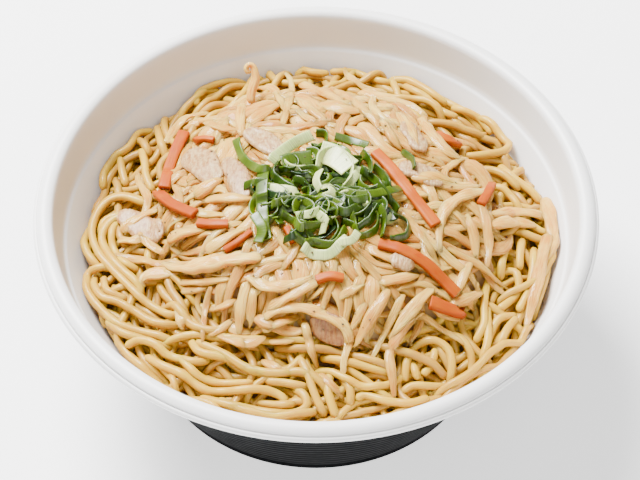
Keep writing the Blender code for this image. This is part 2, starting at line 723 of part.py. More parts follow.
def main():
    """Build the bowl, then the food from the bottom up, each fitted to the bare cores under it."""
    clear_scene()
    bowl = turned("bowl", bowl_profile(), BOWL_SEGMENTS)
    finish(bowl, material("foam", (0.85, 0.84, 0.83), 0.5))
    bed = noodle_bed("noodles")
    bed_tree = tree_of(bed)
    heap = sprout_core("sprouts")
    cut(heap, noodle_bed("sprout_seat", GAP))
    heap_tree = tree_of(heap)
    toppings = make_toppings((heap_tree, bed_tree))
    onion = make_onion(heap_tree)
    noodles = make_noodles(bed, bed_tree, toppings)
    make_sprouts(heap, heap_tree, bed_tree, np.vstack([noodles, toppings, onion]))
    bpy.data.objects.remove(strand_section(), do_unlink=True)


main()
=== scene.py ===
"""Looks of a foam bowl of stir-fried noodles under bean sprouts, pork, carrot and spring onion.

Sizes are in millimetres and become metres as each mesh is made. The food is laid strand by strand
on a relief map of what lies below, lowest layers first, so each piece rests on those under it.
Routes of the pieces that stand out were read in pixels of the 640 x 480 photograph, and
the camera below carries them onto the food.
"""
import math

import bmesh
import bpy
import numpy as np
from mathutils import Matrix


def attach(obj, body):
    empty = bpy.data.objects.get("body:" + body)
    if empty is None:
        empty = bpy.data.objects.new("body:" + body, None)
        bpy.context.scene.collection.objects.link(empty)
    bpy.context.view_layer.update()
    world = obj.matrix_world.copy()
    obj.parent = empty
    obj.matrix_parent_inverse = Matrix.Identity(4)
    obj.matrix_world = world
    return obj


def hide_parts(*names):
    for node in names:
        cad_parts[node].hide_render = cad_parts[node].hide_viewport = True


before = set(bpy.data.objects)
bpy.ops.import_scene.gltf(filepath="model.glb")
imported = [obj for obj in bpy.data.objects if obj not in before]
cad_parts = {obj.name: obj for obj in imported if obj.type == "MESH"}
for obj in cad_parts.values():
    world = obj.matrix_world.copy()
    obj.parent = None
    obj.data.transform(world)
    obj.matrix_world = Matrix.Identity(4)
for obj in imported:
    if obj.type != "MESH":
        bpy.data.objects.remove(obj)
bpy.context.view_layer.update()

MM = 0.001

# Camera: how it looks down on the middle of the rim, and where the photograph shows that point
VIEW_ELEVATION = math.radians(50.05)
VIEW_DISTANCE = 900.0
RIM_MIDDLE = np.array([0.0, 0.0, 66.0])
RIM_PIXEL = (316.1, 211.4)
FOCAL_PIXELS = 2674.0
PHOTO_SIZE = (640, 480)
SENSOR = 36.0
PIXELS_PER_MM = FOCAL_PIXELS / VIEW_DISTANCE

FORWARD = np.array([0.0, math.cos(VIEW_ELEVATION), -math.sin(VIEW_ELEVATION)])
RIGHT = np.array([1.0, 0.0, 0.0])
UP = np.cross(RIGHT, FORWARD)
CAMERA_PLACE = RIM_MIDDLE - VIEW_DISTANCE * FORWARD

# Bowl: the same section as its solid, with a finer rim and the film's ribs
RIM_RADIUS = 95.0
LEDGE_HEIGHT = 55.6
LEDGE_INNER = 84.5
FLOOR_HEIGHT = 3.5
FLOOR_RADIUS = 58.0
WALL = 2.0
FILM = 0.3
RIB_STEP = 4.6
RIB_DEPTH = 0.28
RIB_SPACING = 0.46
WALL_START = 1.4
WALL_END = 53.6
BOWL_SEGMENTS = 176

# Noodles: their level at the wall, its rise to the middle and its lean to the right, how far out
# they reach, and a strand's radius
NOODLE_LEVEL = 51.3
NOODLE_RISE = 9.0
NOODLE_LEAN = 0.018
NOODLE_REACH = 81.0
NOODLE_RADIUS = 1.42

# Sprout heap: how far it reaches in twelve directions, the share of that to the foot of its dome,
# the dome's rise over the noodles at its foot, its power and its crown's level, how far out its
# core goes, and the level that the spring onion stays under
SPROUT_REACH = [80, 77, 77, 77, 79, 68, 66, 60, 60, 57, 68, 74]
SPROUT_CORE_SHARE = 0.84
SPROUT_EDGE = 1.6
SPROUT_POWER = 2.3
SPROUT_CROWN = 72.6
SPROUT_FOOT = 1.06
HEAP_LIMIT = 78.3

# Depth of the plain cores under the food's surface
NOODLE_DEPTH = 7.0
SPROUT_DEPTH = 5.6

# Relief map of what lies in the bowl: its cells, half its width, and the cells left at its edge
CELL = 0.5
HALF = 96.0
MARGIN = 12
GRID = np.arange(-HALF, HALF + 0.5 * CELL, CELL)
GRID_X, GRID_Y = np.meshgrid(GRID, GRID, indexing="ij")

# Strands: step between their points, and the length over which an end dips
STEP = 0.8
TUCK_LENGTH = 7.0

# Random strands: how many are compared, how many of them are tried, and the misses that end a layer
FILL_TRIES = 16
FILL_PICKS = 6
FILL_MISSES = 30


def routes(values, text):
    """Rows of a table as tuples: some values first, and then a route of pixels x,y."""
    rows = []
    for line in text.strip().splitlines():
        words = line.split()
        pixels = [tuple(float(part) for part in word.split(",")) for word in words[values:]]
        rows.append((*(float(word) for word in words[:values]), pixels))
    return rows


def pixel_rays(pixels):
    """Directions in which the camera sees pixels of the photograph."""
    pixels = np.asarray(pixels, dtype=float)
    right = (pixels[:, 0] - RIM_PIXEL[0]) / FOCAL_PIXELS
    down = (pixels[:, 1] - RIM_PIXEL[1]) / FOCAL_PIXELS
    return FORWARD + right[:, None] * RIGHT - down[:, None] * UP


def at_height(pixels, heights):
    """Plan places that the camera sees at pixels, at one height or one for each."""
    rays = pixel_rays(pixels)
    reach = (heights - CAMERA_PLACE[2]) / rays[:, 2]
    return (CAMERA_PLACE + rays * reach[:, None])[:, :2]


def wall_radius(height):
    """Radius of the bowl's inner wall below its ledge."""
    return (FLOOR_RADIUS
            + (LEDGE_INNER - FLOOR_RADIUS) * (height - FLOOR_HEIGHT) / (LEDGE_HEIGHT - FLOOR_HEIGHT))


def noodle_top(x, y):
    """Level that the noodles reach."""
    return NOODLE_LEVEL + NOODLE_RISE * (1 - (x ** 2 + y ** 2) / NOODLE_REACH ** 2) + NOODLE_LEAN * x


def sprout_reach(angle):
    """Radius of the sprout heap's outline at an angle, smooth between its twelve values."""
    place = np.mod(angle, math.tau) / math.tau * len(SPROUT_REACH)
    low = place.astype(int) % len(SPROUT_REACH)
    blend = 0.5 - 0.5 * np.cos(math.pi * (place - np.floor(place)))
    values = np.array(SPROUT_REACH, dtype=float)
    return values[low] * (1 - blend) + values[(low + 1) % len(SPROUT_REACH)] * blend


def heap_share(x, y):
    """How far out a place lies on the sprout heap, from 0 in its middle to 1 at its foot."""
    return np.hypot(x, y) / (SPROUT_CORE_SHARE * sprout_reach(np.arctan2(y, x)))


def food_top(x, y):
    """Level that the food reaches: the sprout heap over the noodles."""
    level = noodle_top(x, y)
    edge = level + SPROUT_EDGE
    swell = 1 - np.minimum(heap_share(x, y), 1.0) ** SPROUT_POWER
    return np.where(swell > 0, edge + (SPROUT_CROWN - edge) * swell, level)


NOODLE_TOP = noodle_top(GRID_X, GRID_Y)
FOOD_TOP = food_top(GRID_X, GRID_Y)
relief = NOODLE_TOP - NOODLE_DEPTH


def cells(plan):
    """Rows and columns of the relief map's cells under plan places."""
    place = np.clip(np.rint((plan + HALF) / CELL).astype(int), MARGIN, len(GRID) - 1 - MARGIN)
    return place[:, 0], place[:, 1]


def caps(plan, radii, flat):
    """Cells under each ball of a strand, and how far the ball's surface stands over its middle."""
    reach = int(math.ceil(radii.max() / CELL))
    steps = np.arange(-reach, reach + 1)
    rows, columns = (step.ravel() for step in np.meshgrid(steps, steps, indexing="ij"))
    apart = (rows ** 2 + columns ** 2) * CELL ** 2
    room = radii[:, None] ** 2 - apart
    rise = np.where(room > 0, flat * np.sqrt(np.maximum(room, 0)), -np.inf)
    middle_rows, middle_columns = cells(plan)
    return middle_rows[:, None] + rows, middle_columns[:, None] + columns, rise


def settle(plan, radii, flat=1.0, give=0.25, stiffness=25):
    """Heights at which a strand rests on the relief, arching over what it crosses."""
    rows, columns, rise = caps(plan, radii, flat)
    needed = (relief[rows, columns] + rise).max(axis=1) - give
    heights = needed.copy()
    for _ in range(stiffness):
        middle = 0.25 * heights[:-2] + 0.5 * heights[1:-1] + 0.25 * heights[2:]
        heights[1:-1] = np.maximum(needed[1:-1], middle)
    return heights


def stamp(plan, heights, radii, flat=1.0):
    """Add a strand to the relief."""
    rows, columns, rise = caps(plan, radii, flat)
    tops = np.where(np.isfinite(rise), heights[:, None] + rise, -np.inf)
    np.maximum.at(relief, (rows, columns), tops)


def curve_through(points, steps=10):
    """Smooth curve through points, as a Catmull-Rom spline."""
    points = np.asarray(points, dtype=float)
    line = np.vstack([2 * points[0] - points[1], points, 2 * points[-1] - points[-2]])
    curve = []
    for a, b, c, d in zip(line, line[1:], line[2:], line[3:]):
        for t in np.arange(steps) / steps:
            curve.append(0.5 * (2 * b + (c - a) * t + (2 * a - 5 * b + 4 * c - d) * t ** 2
                                + (3 * b - a - 3 * c + d) * t ** 3))
    curve.append(points[-1])
    return np.array(curve)


def resample(points, spacing):
    """Even points along a polyline."""
    steps = np.linalg.norm(np.diff(points, axis=0), axis=1)
    along = np.concatenate([[0.0], np.cumsum(steps)])
    count = max(4, int(round(along[-1] / spacing)) + 1)
    wanted = np.linspace(0.0, along[-1], count)
    return np.column_stack([np.interp(wanted, along, points[:, k]) for k in range(points.shape[1])])


def unit(vectors):
    """Rows scaled to length 1."""
    return vectors / np.maximum(np.linalg.norm(vectors, axis=1), 1e-9)[:, None]


def inside_bowl(plan, heights, radii):
    """Draw places in where they would meet the bowl's wall."""
    limit = np.minimum(wall_radius(heights), LEDGE_INNER) - radii - 0.5
    reach = np.maximum(np.hypot(plan[:, 0], plan[:, 1]), 1e-6)
    return plan * np.minimum(1.0, limit / reach)[:, None]


def tuck_in(heights, tuck):
    """Let the ends of a strand dip into what it lies on."""
    near_end = np.minimum(np.arange(len(heights)), np.arange(len(heights))[::-1]) * STEP
    return heights - tuck * np.clip(1 - near_end / TUCK_LENGTH, 0, 1) ** 2


def lay_from_view(pixels, radius, flat=1.0, stiffness=25, taper=None, give=0.6, tuck=0.0, above=1.6):
    """Lay a strand so that the camera sees it along its pixels; give its path and radii.

    It presses in by give, its ends dip by tuck, and it stays within above of the food's level.
    """
    route = resample(curve_through(pixels), STEP * PIXELS_PER_MM)
    radii = radius * (np.ones(len(route)) if taper is None else taper(np.linspace(0, 1, len(route))))
    heights = food_top(*at_height(route, NOODLE_LEVEL + 6).T) - radii
    for _ in range(6):
        plan = inside_bowl(at_height(route, heights), heights, radii)
        heights = 0.5 * (heights + settle(plan, radii, flat, give, stiffness))
        heights = np.minimum(heights, food_top(*plan.T) + above - flat * radii)
    heights = tuck_in(heights, tuck)
    plan = inside_bowl(at_height(route, heights), heights, radii)
    stamp(plan, heights, radii, flat)
    return np.column_stack([plan, heights]), radii


class Batch:
    """Gathers many small bodies of one kind into a single mesh."""

    def __init__(self):
        self.points = []
        self.faces = []
        self.tones = []
        self.grains = []
        self.total = 0

    def add(self, points, faces, tone, grain):
        """Add one body, with its tone from 0 to 1 and the place of each vertex in its grain."""
        self.points.append(points)
        self.faces.extend([tuple(int(k) + self.total for k in face) for face in faces])
        self.tones.append(np.full(len(points), tone))
        self.grains.append(grain)
        self.total += len(points)

    def sweep(self, path, radii, tone, chance, stretch, shift, **shape):
        """Add one strand, its grain stretched along it and starting anywhere up to a shift."""
        points, faces, grain = body_along(path, radii, **shape)
        grain[:, 2] = stretch * grain[:, 2] + shift * chance.random()
        self.add(points, faces, tone, grain)

    def piece(self, name, made):
        """Make the mesh object."""
        obj = closed_object(name, np.vstack(self.points), self.faces, made)
        tone = obj.data.attributes.new("tone", "FLOAT", "POINT")
        tone.data.foreach_set("value", np.concatenate(self.tones).astype(np.float32))
        grain = obj.data.attributes.new("grain", "FLOAT_VECTOR", "POINT")
        grain.data.foreach_set("vector", np.vstack(self.grains).astype(np.float32).ravel())
        return obj


def closed_object(name, points, faces, made):
    """Smooth object of closed bodies from points in millimetres, its faces pointing out."""
    mesh = bpy.data.meshes.new(name)
    mesh.from_pydata(np.asarray(points) * MM, [], faces)
    mesh.validate()
    bm = bmesh.new()
    bm.from_mesh(mesh)
    bmesh.ops.recalc_face_normals(bm, faces=bm.faces)
    bm.to_mesh(mesh)
    bm.free()
    mesh.shade_smooth()
    mesh.materials.append(made)
    obj = bpy.data.objects.new(name, mesh)
    bpy.context.scene.collection.objects.link(obj)
    return obj


def tube_faces(rings, around):
    """Faces between rings of points, each to the next."""
    return [(ring * around + k, ring * around + (k + 1) % around,
             (ring + 1) * around + (k + 1) % around, (ring + 1) * around + k)
            for ring in range(rings - 1) for k in range(around)]


def ring_places(length, end, spacing):
    """Distances along a strand of its rings, close together at the rounded ends."""
    count = max(2, int(round((length - 2 * end) / spacing)) + 1)
    middle = np.linspace(end, length - end, count)
    tip = np.array([0.04, 0.35]) * end
    return np.concatenate([tip, middle, length - tip[::-1]])


def body_along(path, radii, flat=1.0, sides=None, around=8, square=2.0, ridges=None, spacing=1.5,
               blunt=False, roll=None, point=1.0):
    """Closed body swept along a path; sides are the directions of its width, level by default."""
    steps = np.linalg.norm(np.diff(path, axis=0), axis=1)
    along = np.concatenate([[0.0], np.cumsum(steps)])
    radius = float(radii.mean())
    end = min(radius * (0.25 if blunt else point), 0.3 * along[-1])
    places = ring_places(along[-1], end, spacing)
    line = np.column_stack([np.interp(places, along, path[:, k]) for k in range(3)])
    widths = np.interp(places, along, radii)
    if not blunt:
        near_end = np.minimum(places, along[-1] - places) / end
        widths = widths * np.sqrt(np.clip(1 - (1 - np.minimum(near_end, 1)) ** 2, 0.02, 1))
    forward = unit(np.gradient(line, axis=0))
    if sides is None:
        side = np.cross(forward, [0.0, 0.0, 1.0])
        side[np.linalg.norm(side, axis=1) < 1e-6] = (1.0, 0.0, 0.0)
    else:
        side = np.column_stack([np.interp(places, along, sides[:, k]) for k in range(3)])
    side = unit(side)
    up = unit(np.cross(side, forward))
    if roll is not None:
        turn = roll(places)[:, None]
        side, up = side * np.cos(turn) + up * np.sin(turn), up * np.cos(turn) - side * np.sin(turn)
    angles = math.tau * (np.arange(around) + 0.5) / around
    out = np.sign(np.cos(angles)) * np.abs(np.cos(angles)) ** (2 / square)
    high = np.sign(np.sin(angles)) * np.abs(np.sin(angles)) ** (2 / square)
    shape = np.ones((len(places), around)) if ridges is None else ridges(places, angles)
    across = widths[:, None] * shape
    points = (line[:, None, :] + side[:, None, :] * (across * out)[:, :, None]
              + up[:, None, :] * (flat * across * high)[:, :, None]).reshape(-1, 3)
    last = (len(places) - 1) * around
    faces = tube_faces(len(places), around)
    faces += [tuple(range(around)), tuple(range(last, last + around))]
    grain = np.column_stack([(shape * out).ravel(), (shape * high).ravel(), np.repeat(places, around)])
    return points, faces, grain


def wander(chance, middle, heading, length, bend):
    """Plan route of a limp strand, curving one way and the other, through its middle."""
    along = np.arange(int(length / STEP) + 1) * STEP
    turn = np.zeros(len(along))
    for _ in range(2):
        wave = chance.uniform(24, 70)
        strength = chance.uniform(0.3, 1.0) * bend
        turn += strength * np.sin(math.tau * along / wave + chance.uniform(0, math.tau))
    bearing = heading + np.cumsum(turn * STEP)
    bearing += heading - bearing[len(bearing) // 2]
    steps = np.column_stack([np.cos(bearing), np.sin(bearing)]) * STEP
    plan = np.cumsum(steps, axis=0)
    return plan - plan[len(plan) // 2] + middle


def shortfall(plan, target):
    """How far the relief lies below its target along a route, on the whole."""
    rows, columns = cells(plan)
    short = target[rows, columns] - relief[rows, columns]
    return float(np.mean(np.maximum(short, -2.0)) + 0.5 * min(0.0, short.min()))


def fill(batch, chance, count, candidate, target, sweep, over, least, give, tuck, flat=1.0):
    """Lay strands where the heap lies lowest under its target, by least or more.

    No strand rises over the target by more than over. Each presses in by give and dips by tuck.
    """
    laid = 0
    misses = 0
    while laid < count and misses < FILL_MISSES:
        options = []
        for _ in range(FILL_TRIES):
            plan, radii, tone = candidate(chance)
            options.append((shortfall(plan, target), len(options), plan, radii, tone))
        options.sort(key=lambda option: option[0], reverse=True)
        misses += 1
        for score, _, plan, radii, tone in options[:FILL_PICKS]:
            if score < least:
                break
            rows, columns = cells(plan)
            level = target[rows, columns]
            plan = inside_bowl(plan, level - radii, radii)
            heights = settle(plan, radii, flat, give)
            if (heights + flat * radii - level).max() > over:
                continue
            heights = tuck_in(heights, tuck)
            stamp(plan, heights, radii, flat)
            sweep(batch, np.column_stack([plan, heights]), radii, tone, chance)
            laid += 1
            misses = 0
            break


def noise_of(chance, count=3):
    """Smooth random function of a distance in millimetres, from -1 to 1."""
    waves = [(chance.uniform(7, 30), chance.uniform(0, math.tau)) for _ in range(count)]
    return lambda s: sum(np.sin(math.tau * s / wave + phase) for wave, phase in waves) / count


# NOODLES

NOODLE_SEED = 11
NOODLE_BEND = 0.08
# Depths of the covered layers under the noodles' level
NOODLE_LAYERS = (5.0, 4.0, 3.0)
# Noodles that stand out in the photograph, in the order in which they lie
HERO_NOODLES = routes(0, """
84,226 83,236 86,250 94,262 104,270
106,180 104,167 114,149 133,141 143,143 150,156
141,150 145,163 146,176 153,192
157,127 161,143 167,159
120,158 122,171 126,186
146,127 137,135 128,148 112,158 104,172 103,190
180,122 184,110 196,98 214,82
196,106 199,93 214,84 230,80 245,84
265,65 272,77 282,83 308,82
295,67 312,72 329,74
330,72 352,72 370,78 392,84
392,74 412,82 430,92 447,105
404,86 424,96 440,110 458,118
452,108 468,112 484,122 492,134
90,239 94,220 106,202 122,196 139,200 153,206
100,239 104,222 118,216 136,216
118,221 112,232 113,247 121,260 139,271
134,216 117,218 106,227 102,239 107,252 121,269 134,280 141,292 134,299
149,205 125,197 108,201 96,216 92,234 98,252 112,269 131,288 147,303 167,314 181,315
104,278 106,289 115,295 127,300
96,278 94,285 102,297 118,302 134,311 153,322 180,326
112,269 102,267 90,272 85,283 89,294 99,307 115,322 134,330 159,336 178,345
107,321 121,332 141,339 172,349
127,346 139,340 155,344 169,356 196,362 210,360
159,283 163,293 172,302 180,307
146,357 163,366 182,374 203,389 220,392 257,389 279,395 287,404
180,358 200,377 218,383 253,383
191,341 200,352 226,358 249,369 272,375
196,342 224,354 245,367 271,373 302,371
200,398 234,406 272,413 295,413 307,406 304,395 295,389
218,400 245,410 275,416 298,413 316,412
257,403 276,405 295,404
266,381 286,383 307,387
281,373 302,372 318,380 330,395
299,358 307,372 315,395 325,416
330,375 328,392 336,418
321,347 341,364 364,380 384,395 396,402
321,358 345,361 364,366 390,373
341,378 350,389 350,406
356,400 364,395 387,401 410,403 428,398
402,393 412,386 428,386 447,387
412,362 418,380
435,349 432,365 422,375
440,337 458,337 468,347 472,361 470,375 459,377
405,382 407,361 415,347 432,340 447,348 452,363 450,384
515,316 499,319 489,338 484,356
516,318 506,331 498,349
501,272 515,272 519,285 516,296 498,310
487,307 488,338 482,361
496,267 487,286 484,307 484,324 475,343
509,240 502,261 500,280
522,240 520,254 520,270
534,250 533,270 528,292 518,312
487,208 514,206 540,212 552,216
500,167 516,180 532,192 541,204
479,118 493,122 504,133 510,141 504,151 483,155 461,157
470,172 490,170 506,176 520,190
""")


def noodle_ridges(chance):
    """A noodle's slightly uneven, squared-off section."""
    wobble = noise_of(chance)
    turn = chance.uniform(0, math.tau)
    return lambda s, a: 1 + 0.05 * wobble(s)[:, None] + 0.035 * np.cos(4 * a + turn + 0.06 * s[:, None])


def sweep_noodle(batch, path, radii, tone, chance, around=8, spacing=1.5):
    """One noodle along its path."""
    batch.sweep(path, radii, tone, chance, 0.15, 40, around=around, ridges=noodle_ridges(chance),
                spacing=spacing)


def sweep_low_noodle(batch, path, radii, tone, chance):
    """A noodle that is mostly covered, with fewer sides and a darker tone as painted shade."""
    sweep_noodle(batch, path, radii, 0.6 * tone, chance, around=6, spacing=2.2)


def noodle_candidate(inner, outer, low, high):
    """A random noodle in the ring between the heap's foot and the bowl's wall, low to high long."""
    def pick(chance):
        angle = chance.uniform(0, math.tau)
        foot = SPROUT_CORE_SHARE * sprout_reach(angle)
        reach = chance.uniform(inner * foot, outer)
        middle = reach * np.array([math.cos(angle), math.sin(angle)])
        heading = angle + math.pi / 2 + chance.normal(0, 0.55)
        plan = wander(chance, middle, heading, chance.uniform(low, high), NOODLE_BEND)
        radii = np.full(len(plan), NOODLE_RADIUS * chance.uniform(0.9, 1.08))
        return plan, radii, chance.random()
    return pick


def noodle_core():
    """What lies under the noodles that show, down to the bowl's floor."""
    shares = np.linspace(1.0, 0.0, 16)
    reach = wall_radius(NOODLE_LEVEL - NOODLE_DEPTH - 2.0) - 0.7
    section = [(0.0, FLOOR_HEIGHT + 0.7), (FLOOR_RADIUS - 10.0, FLOOR_HEIGHT + 0.7),
               (wall_radius(11.0) - 1.7, 11.0), (reach - 0.2, NOODLE_LEVEL - NOODLE_DEPTH - 3.0)]
    section += [(reach * s, noodle_top(reach * s, 0.0) - NOODLE_LEAN * reach * s - NOODLE_DEPTH)
                for s in shares]
    # Painted shade: the core's dark browns stand for the deep, shaded gaps between the noodles.
    painted_shade_core = core_material("noodle_core", (0.27, 0.15, 0.032), (0.13, 0.06, 0.012))
    core = turned("noodle_core", section, 96, painted_shade_core)
    heights = np.array([vert.co.z for vert in core.data.vertices])
    for vert in core.data.vertices:
        if vert.co.z > heights.max() - (NOODLE_RISE + 1.0) * MM:
            vert.co.z += NOODLE_LEAN * vert.co.x
    return core


def make_noodles():
    """The noodles: layers laid by chance, then the ones that stand out, then a few in the gaps."""
    chance = np.random.default_rng(NOODLE_SEED)
    bed, batch = Batch(), Batch()
    for depth in NOODLE_LAYERS:
        fill(bed, chance, 110, noodle_candidate(inner=0.72, outer=80.0, low=40, high=90),
             NOODLE_TOP - depth, sweep_low_noodle, over=3.6, least=0.2, give=1.3, tuck=3.0)
    for (pixels,) in HERO_NOODLES:
        radius = NOODLE_RADIUS * chance.uniform(0.95, 1.08)
        path, radii = lay_from_view(pixels, radius, stiffness=30, tuck=1.6)
        sweep_noodle(batch, path, radii, chance.uniform(0.35, 1.0), chance)
    fill(batch, chance, 50, noodle_candidate(inner=0.92, outer=79.0, low=28, high=70), NOODLE_TOP,
         sweep_noodle, over=2.6, least=0.6, give=0.8, tuck=3.5)
    boiled = noodle_material()
    return [noodle_core(), bed.piece("noodle_bed", boiled), batch.piece("noodle_strands", boiled)]


# SPROUTS

SPROUT_SEED = 5
SPROUT_BEND = 0.09
# Depths of the covered layers under the food's level
SPROUT_LAYERS = (4.0, 3.2, 2.4)
# A sprout's thickness as a share of its width, and how far it turns about its length
SPROUT_FLAT = 0.42
SPROUT_ROLL = 0.4
# Sprouts that stand out: width in pixels, tone from browned to pale, and route, lowest first
HERO_SPROUTS = routes(2, """
13 0.25 254,316 272,325 292,331 308,330
12 0.4 262,330 280,322 300,316
13 0.3 458,282 466,294 474,310
12 0.45 450,306 464,299 482,292
11 0.35 225,322 236,330 252,333
12 0.2 400,330 410,318 424,312
3 0.1 196,262 206,272 222,276 236,272
3 0.05 350,282 358,292 356,306
3 0.1 420,176 434,168 448,170
3 0.05 270,110 284,116 300,114 312,120
10 0.6 185,128 205,120 229,116
9 0.7 166,143 176,128 188,117 210,113
11 0.5 300,84 318,90 335,98 352,108
12 0.7 318,104 340,110 368,112
11 0.6 296,98 312,110 330,125
12 0.8 360,92 385,98 410,106 428,118
10 0.4 330,88 352,100 372,118 381,132
11 0.7 398,112 410,130 420,152
12 0.6 420,118 432,134 446,150 462,160
10 0.5 382,120 392,136 404,152
11 0.8 242,104 240,118 241,136
10 0.7 258,102 270,98 284,98 300,103
9 0.5 291,92 287,110 281,130
10 0.6 258,88 270,88 279,97 284,110
10 0.5 214,146 219,134 226,122 233,112
9 0.4 205,122 222,128 240,130
13 0.6 167,240 180,234 193,231 208,229
11 0.5 140,232 152,246 166,254
12 0.7 122,232 132,222 146,214 158,210
10 0.6 118,240 134,240 150,236
12 0.7 205,200 222,198 240,198 256,198
14 0.6 194,197 208,186 223,177
13 0.8 206,252 220,242 233,234 246,228
12 0.5 430,172 444,180 462,184
12 0.7 378,282 398,279 419,275
10 0.6 338,299 352,290 367,283
16 0.7 410,176 432,178 456,186 480,186
10 0.4 181,291 198,289 215,284
9 0.5 177,282 200,282 230,279
10 0.3 215,309 226,305 236,298
6 0.1 211,286 206,306 203,330 203,349
9 0.5 208,335 222,328 237,316
12 0.7 179,306 181,318 184,331
11 0.4 218,335 238,342 260,350
11 0.8 247,282 243,300 240,318 239,336
9 0.6 254,287 252,308 249,330
10 0.5 240,344 254,343 266,336
10 0.4 269,341 284,341 301,338
10 0.3 263,360 272,366 283,371
9 0.5 365,302 358,317 349,332
12 0.9 179,273 163,273 148,275 141,281 146,287
18 0.9 262,257 236,259 205,264 181,268 161,263
12 0.8 248,277 268,287 292,284 318,276
8 0.3 320,374 332,386 344,399
13 0.8 268,309 286,298 304,288 323,280
9 0.6 304,320 309,342 318,369
6 0.6 304,303 313,296 322,288 322,280 312,277
12 0.8 263,319 280,309 303,308 326,316 343,325 349,340 344,360 343,377
11 0.2 419,309 406,324 395,340 389,354 392,376 394,398
12 0.6 433,288 418,302 402,322 389,340
8 0.7 403,294 389,324 372,359
12 0.5 389,289 378,306 366,325 354,348
11 0.6 470,262 462,280 452,300
10 0.3 480,200 486,222 489,246 487,268
10 0.5 466,214 474,236 476,262
12 0.7 492,214 512,212 536,214 550,222
14 0.6 490,226 512,222 538,226
14 0.5 553,196 558,216 553,242 541,268
13 0.3 549,234 541,262 535,290 526,328
12 0.9 489,190 470,194 453,202 442,216 439,236 440,256
""")


# Sprout that stands at the far side: its foot's height, and radii and pixels up to its curled head
STANDING_FOOT = 60.0
STANDING_RADII = [1.7, 1.8, 1.8, 1.7, 1.5, 1.25, 1.1, 1.1, 1.05, 0.9]
STANDING_SPROUT = [(252, 104), (251, 94), (254, 84), (256, 77), (255, 70), (253.5, 65), (249.5, 62.7),
                   (245.7, 66), (247, 70.3), (251, 70.5)]


def sprout_taper(share):
    """A sprout's width along it: full for most of it, and thin at its tail."""
    head = 0.72 + 0.28 * np.sin(0.5 * math.pi * np.clip(share / 0.3, 0, 1))
    return head * (1 - 0.6 * np.clip((share - 0.5) / 0.5, 0, 1) ** 1.4)


def sprout_ridges(chance):
    """Shallow lengthwise ridges, and soft swellings along a sprout."""
    wobble = noise_of(chance)
    turn = chance.uniform(0, math.tau)
    twist = chance.uniform(-0.05, 0.05)
    def shape(s, a):
        line = a + turn + twist * s[:, None]
        return 1 + 0.17 * wobble(s)[:, None] + 0.08 * np.cos(3 * line) + 0.06 * np.cos(5 * line + turn)
    return shape


def sweep_sprout(batch, path, radii, tone, chance, around=12, spacing=1.4):
    """One bean sprout along its path, a flattened and twisted strand."""
    wobble = noise_of(chance, 2)
    batch.sweep(path, radii, tone, chance, 0.12, 40, flat=SPROUT_FLAT, around=around, square=2.8,
                point=0.9, ridges=sprout_ridges(chance), spacing=spacing,
                roll=lambda s: SPROUT_ROLL * wobble(s))


def sweep_low_sprout(batch, path, radii, tone, chance):
    """A sprout that is mostly covered, with fewer sides and a slightly darker tone as painted shade."""
    sweep_sprout(batch, path, radii, 0.9 * tone, chance, around=8, spacing=2.6)


def sprout_candidate(reach_share, low, high, thin, thick):
    """A random sprout on the heap, low to high long and thin to thick across its half.

    It runs outwards at the front, and any way elsewhere.
    """
    def pick(chance):
        angle = chance.uniform(0, math.tau)
        reach = sprout_reach(angle) * reach_share * math.sqrt(chance.uniform(0.0, 1.0))
        middle = reach * np.array([math.cos(angle), math.sin(angle)])
        spread = 0.8 if middle[1] < -12 else 1.6
        heading = angle + chance.uniform(-spread, spread)
        length = chance.uniform(low, high)
        plan = wander(chance, middle, heading, length, SPROUT_BEND)
        radii = chance.uniform(thin, thick) * sprout_taper(np.linspace(0, 1, len(plan)))
        return plan, radii, chance.random()
    return pick


def sprout_core():
    """Dome under the sprouts that show, sunk at its edge."""
    shares = (SPROUT_FOOT, 1.0, 0.9, 0.78, 0.64, 0.5, 0.34, 0.18)
    count = 72
    angles = math.tau * np.arange(count) / count
    foot = SPROUT_CORE_SHARE * sprout_reach(angles)
    rings = []
    for share in shares:
        x = foot * share * np.cos(angles)
        y = foot * share * np.sin(angles)
        sunk = np.interp(share, (0.78, 0.9, 1.0, SPROUT_FOOT), (0.0, 1.2, 3.5, 6.0))
        rings.append(np.column_stack([x, y, food_top(x, y) - SPROUT_DEPTH - sunk]))
    skirt = rings[0].copy()
    skirt[:, 2] -= 4.0
    middle = [(0, 0, SPROUT_CROWN - SPROUT_DEPTH), (0, 0, skirt[:, 2].min())]
    points = np.vstack([skirt, *rings, middle])
    faces = tube_faces(len(rings) + 1, count)
    top = (len(rings) + 1) * count
    for k in range(count):
        after = (k + 1) % count
        faces.append((len(rings) * count + k, len(rings) * count + after, top))
        faces.append((after, k, top + 1))
    batch = Batch()
    batch.add(points, faces, 0.5, points)
    # The dome takes the sprouts' own brown, made darker as painted shade for the gaps between them.
    browned = core_material("sprout_core", (0.66, 0.42, 0.14), (0.46, 0.27, 0.09))
    return batch.piece("sprout_core", browned)


def make_sprouts(batch, chance):
    """The sprouts under and beside the toppings."""
    for depth in SPROUT_LAYERS:
        fill(batch, chance, 180, sprout_candidate(0.98, low=26, high=50, thin=1.9, thick=3.1),
             FOOD_TOP - depth, sweep_low_sprout, flat=SPROUT_FLAT, over=3.4, least=0.15, give=0.9,
             tuck=1.5)


def make_top_sprouts(batch, chance):
    """More sprouts in the gaps that the lower ones leave."""
    fill(batch, chance, 140, sprout_candidate(0.96, low=20, high=46, thin=1.2, thick=2.2),
         FOOD_TOP - 0.6, sweep_sprout, flat=SPROUT_FLAT, over=1.6, least=0.3, give=0.7, tuck=1.2)


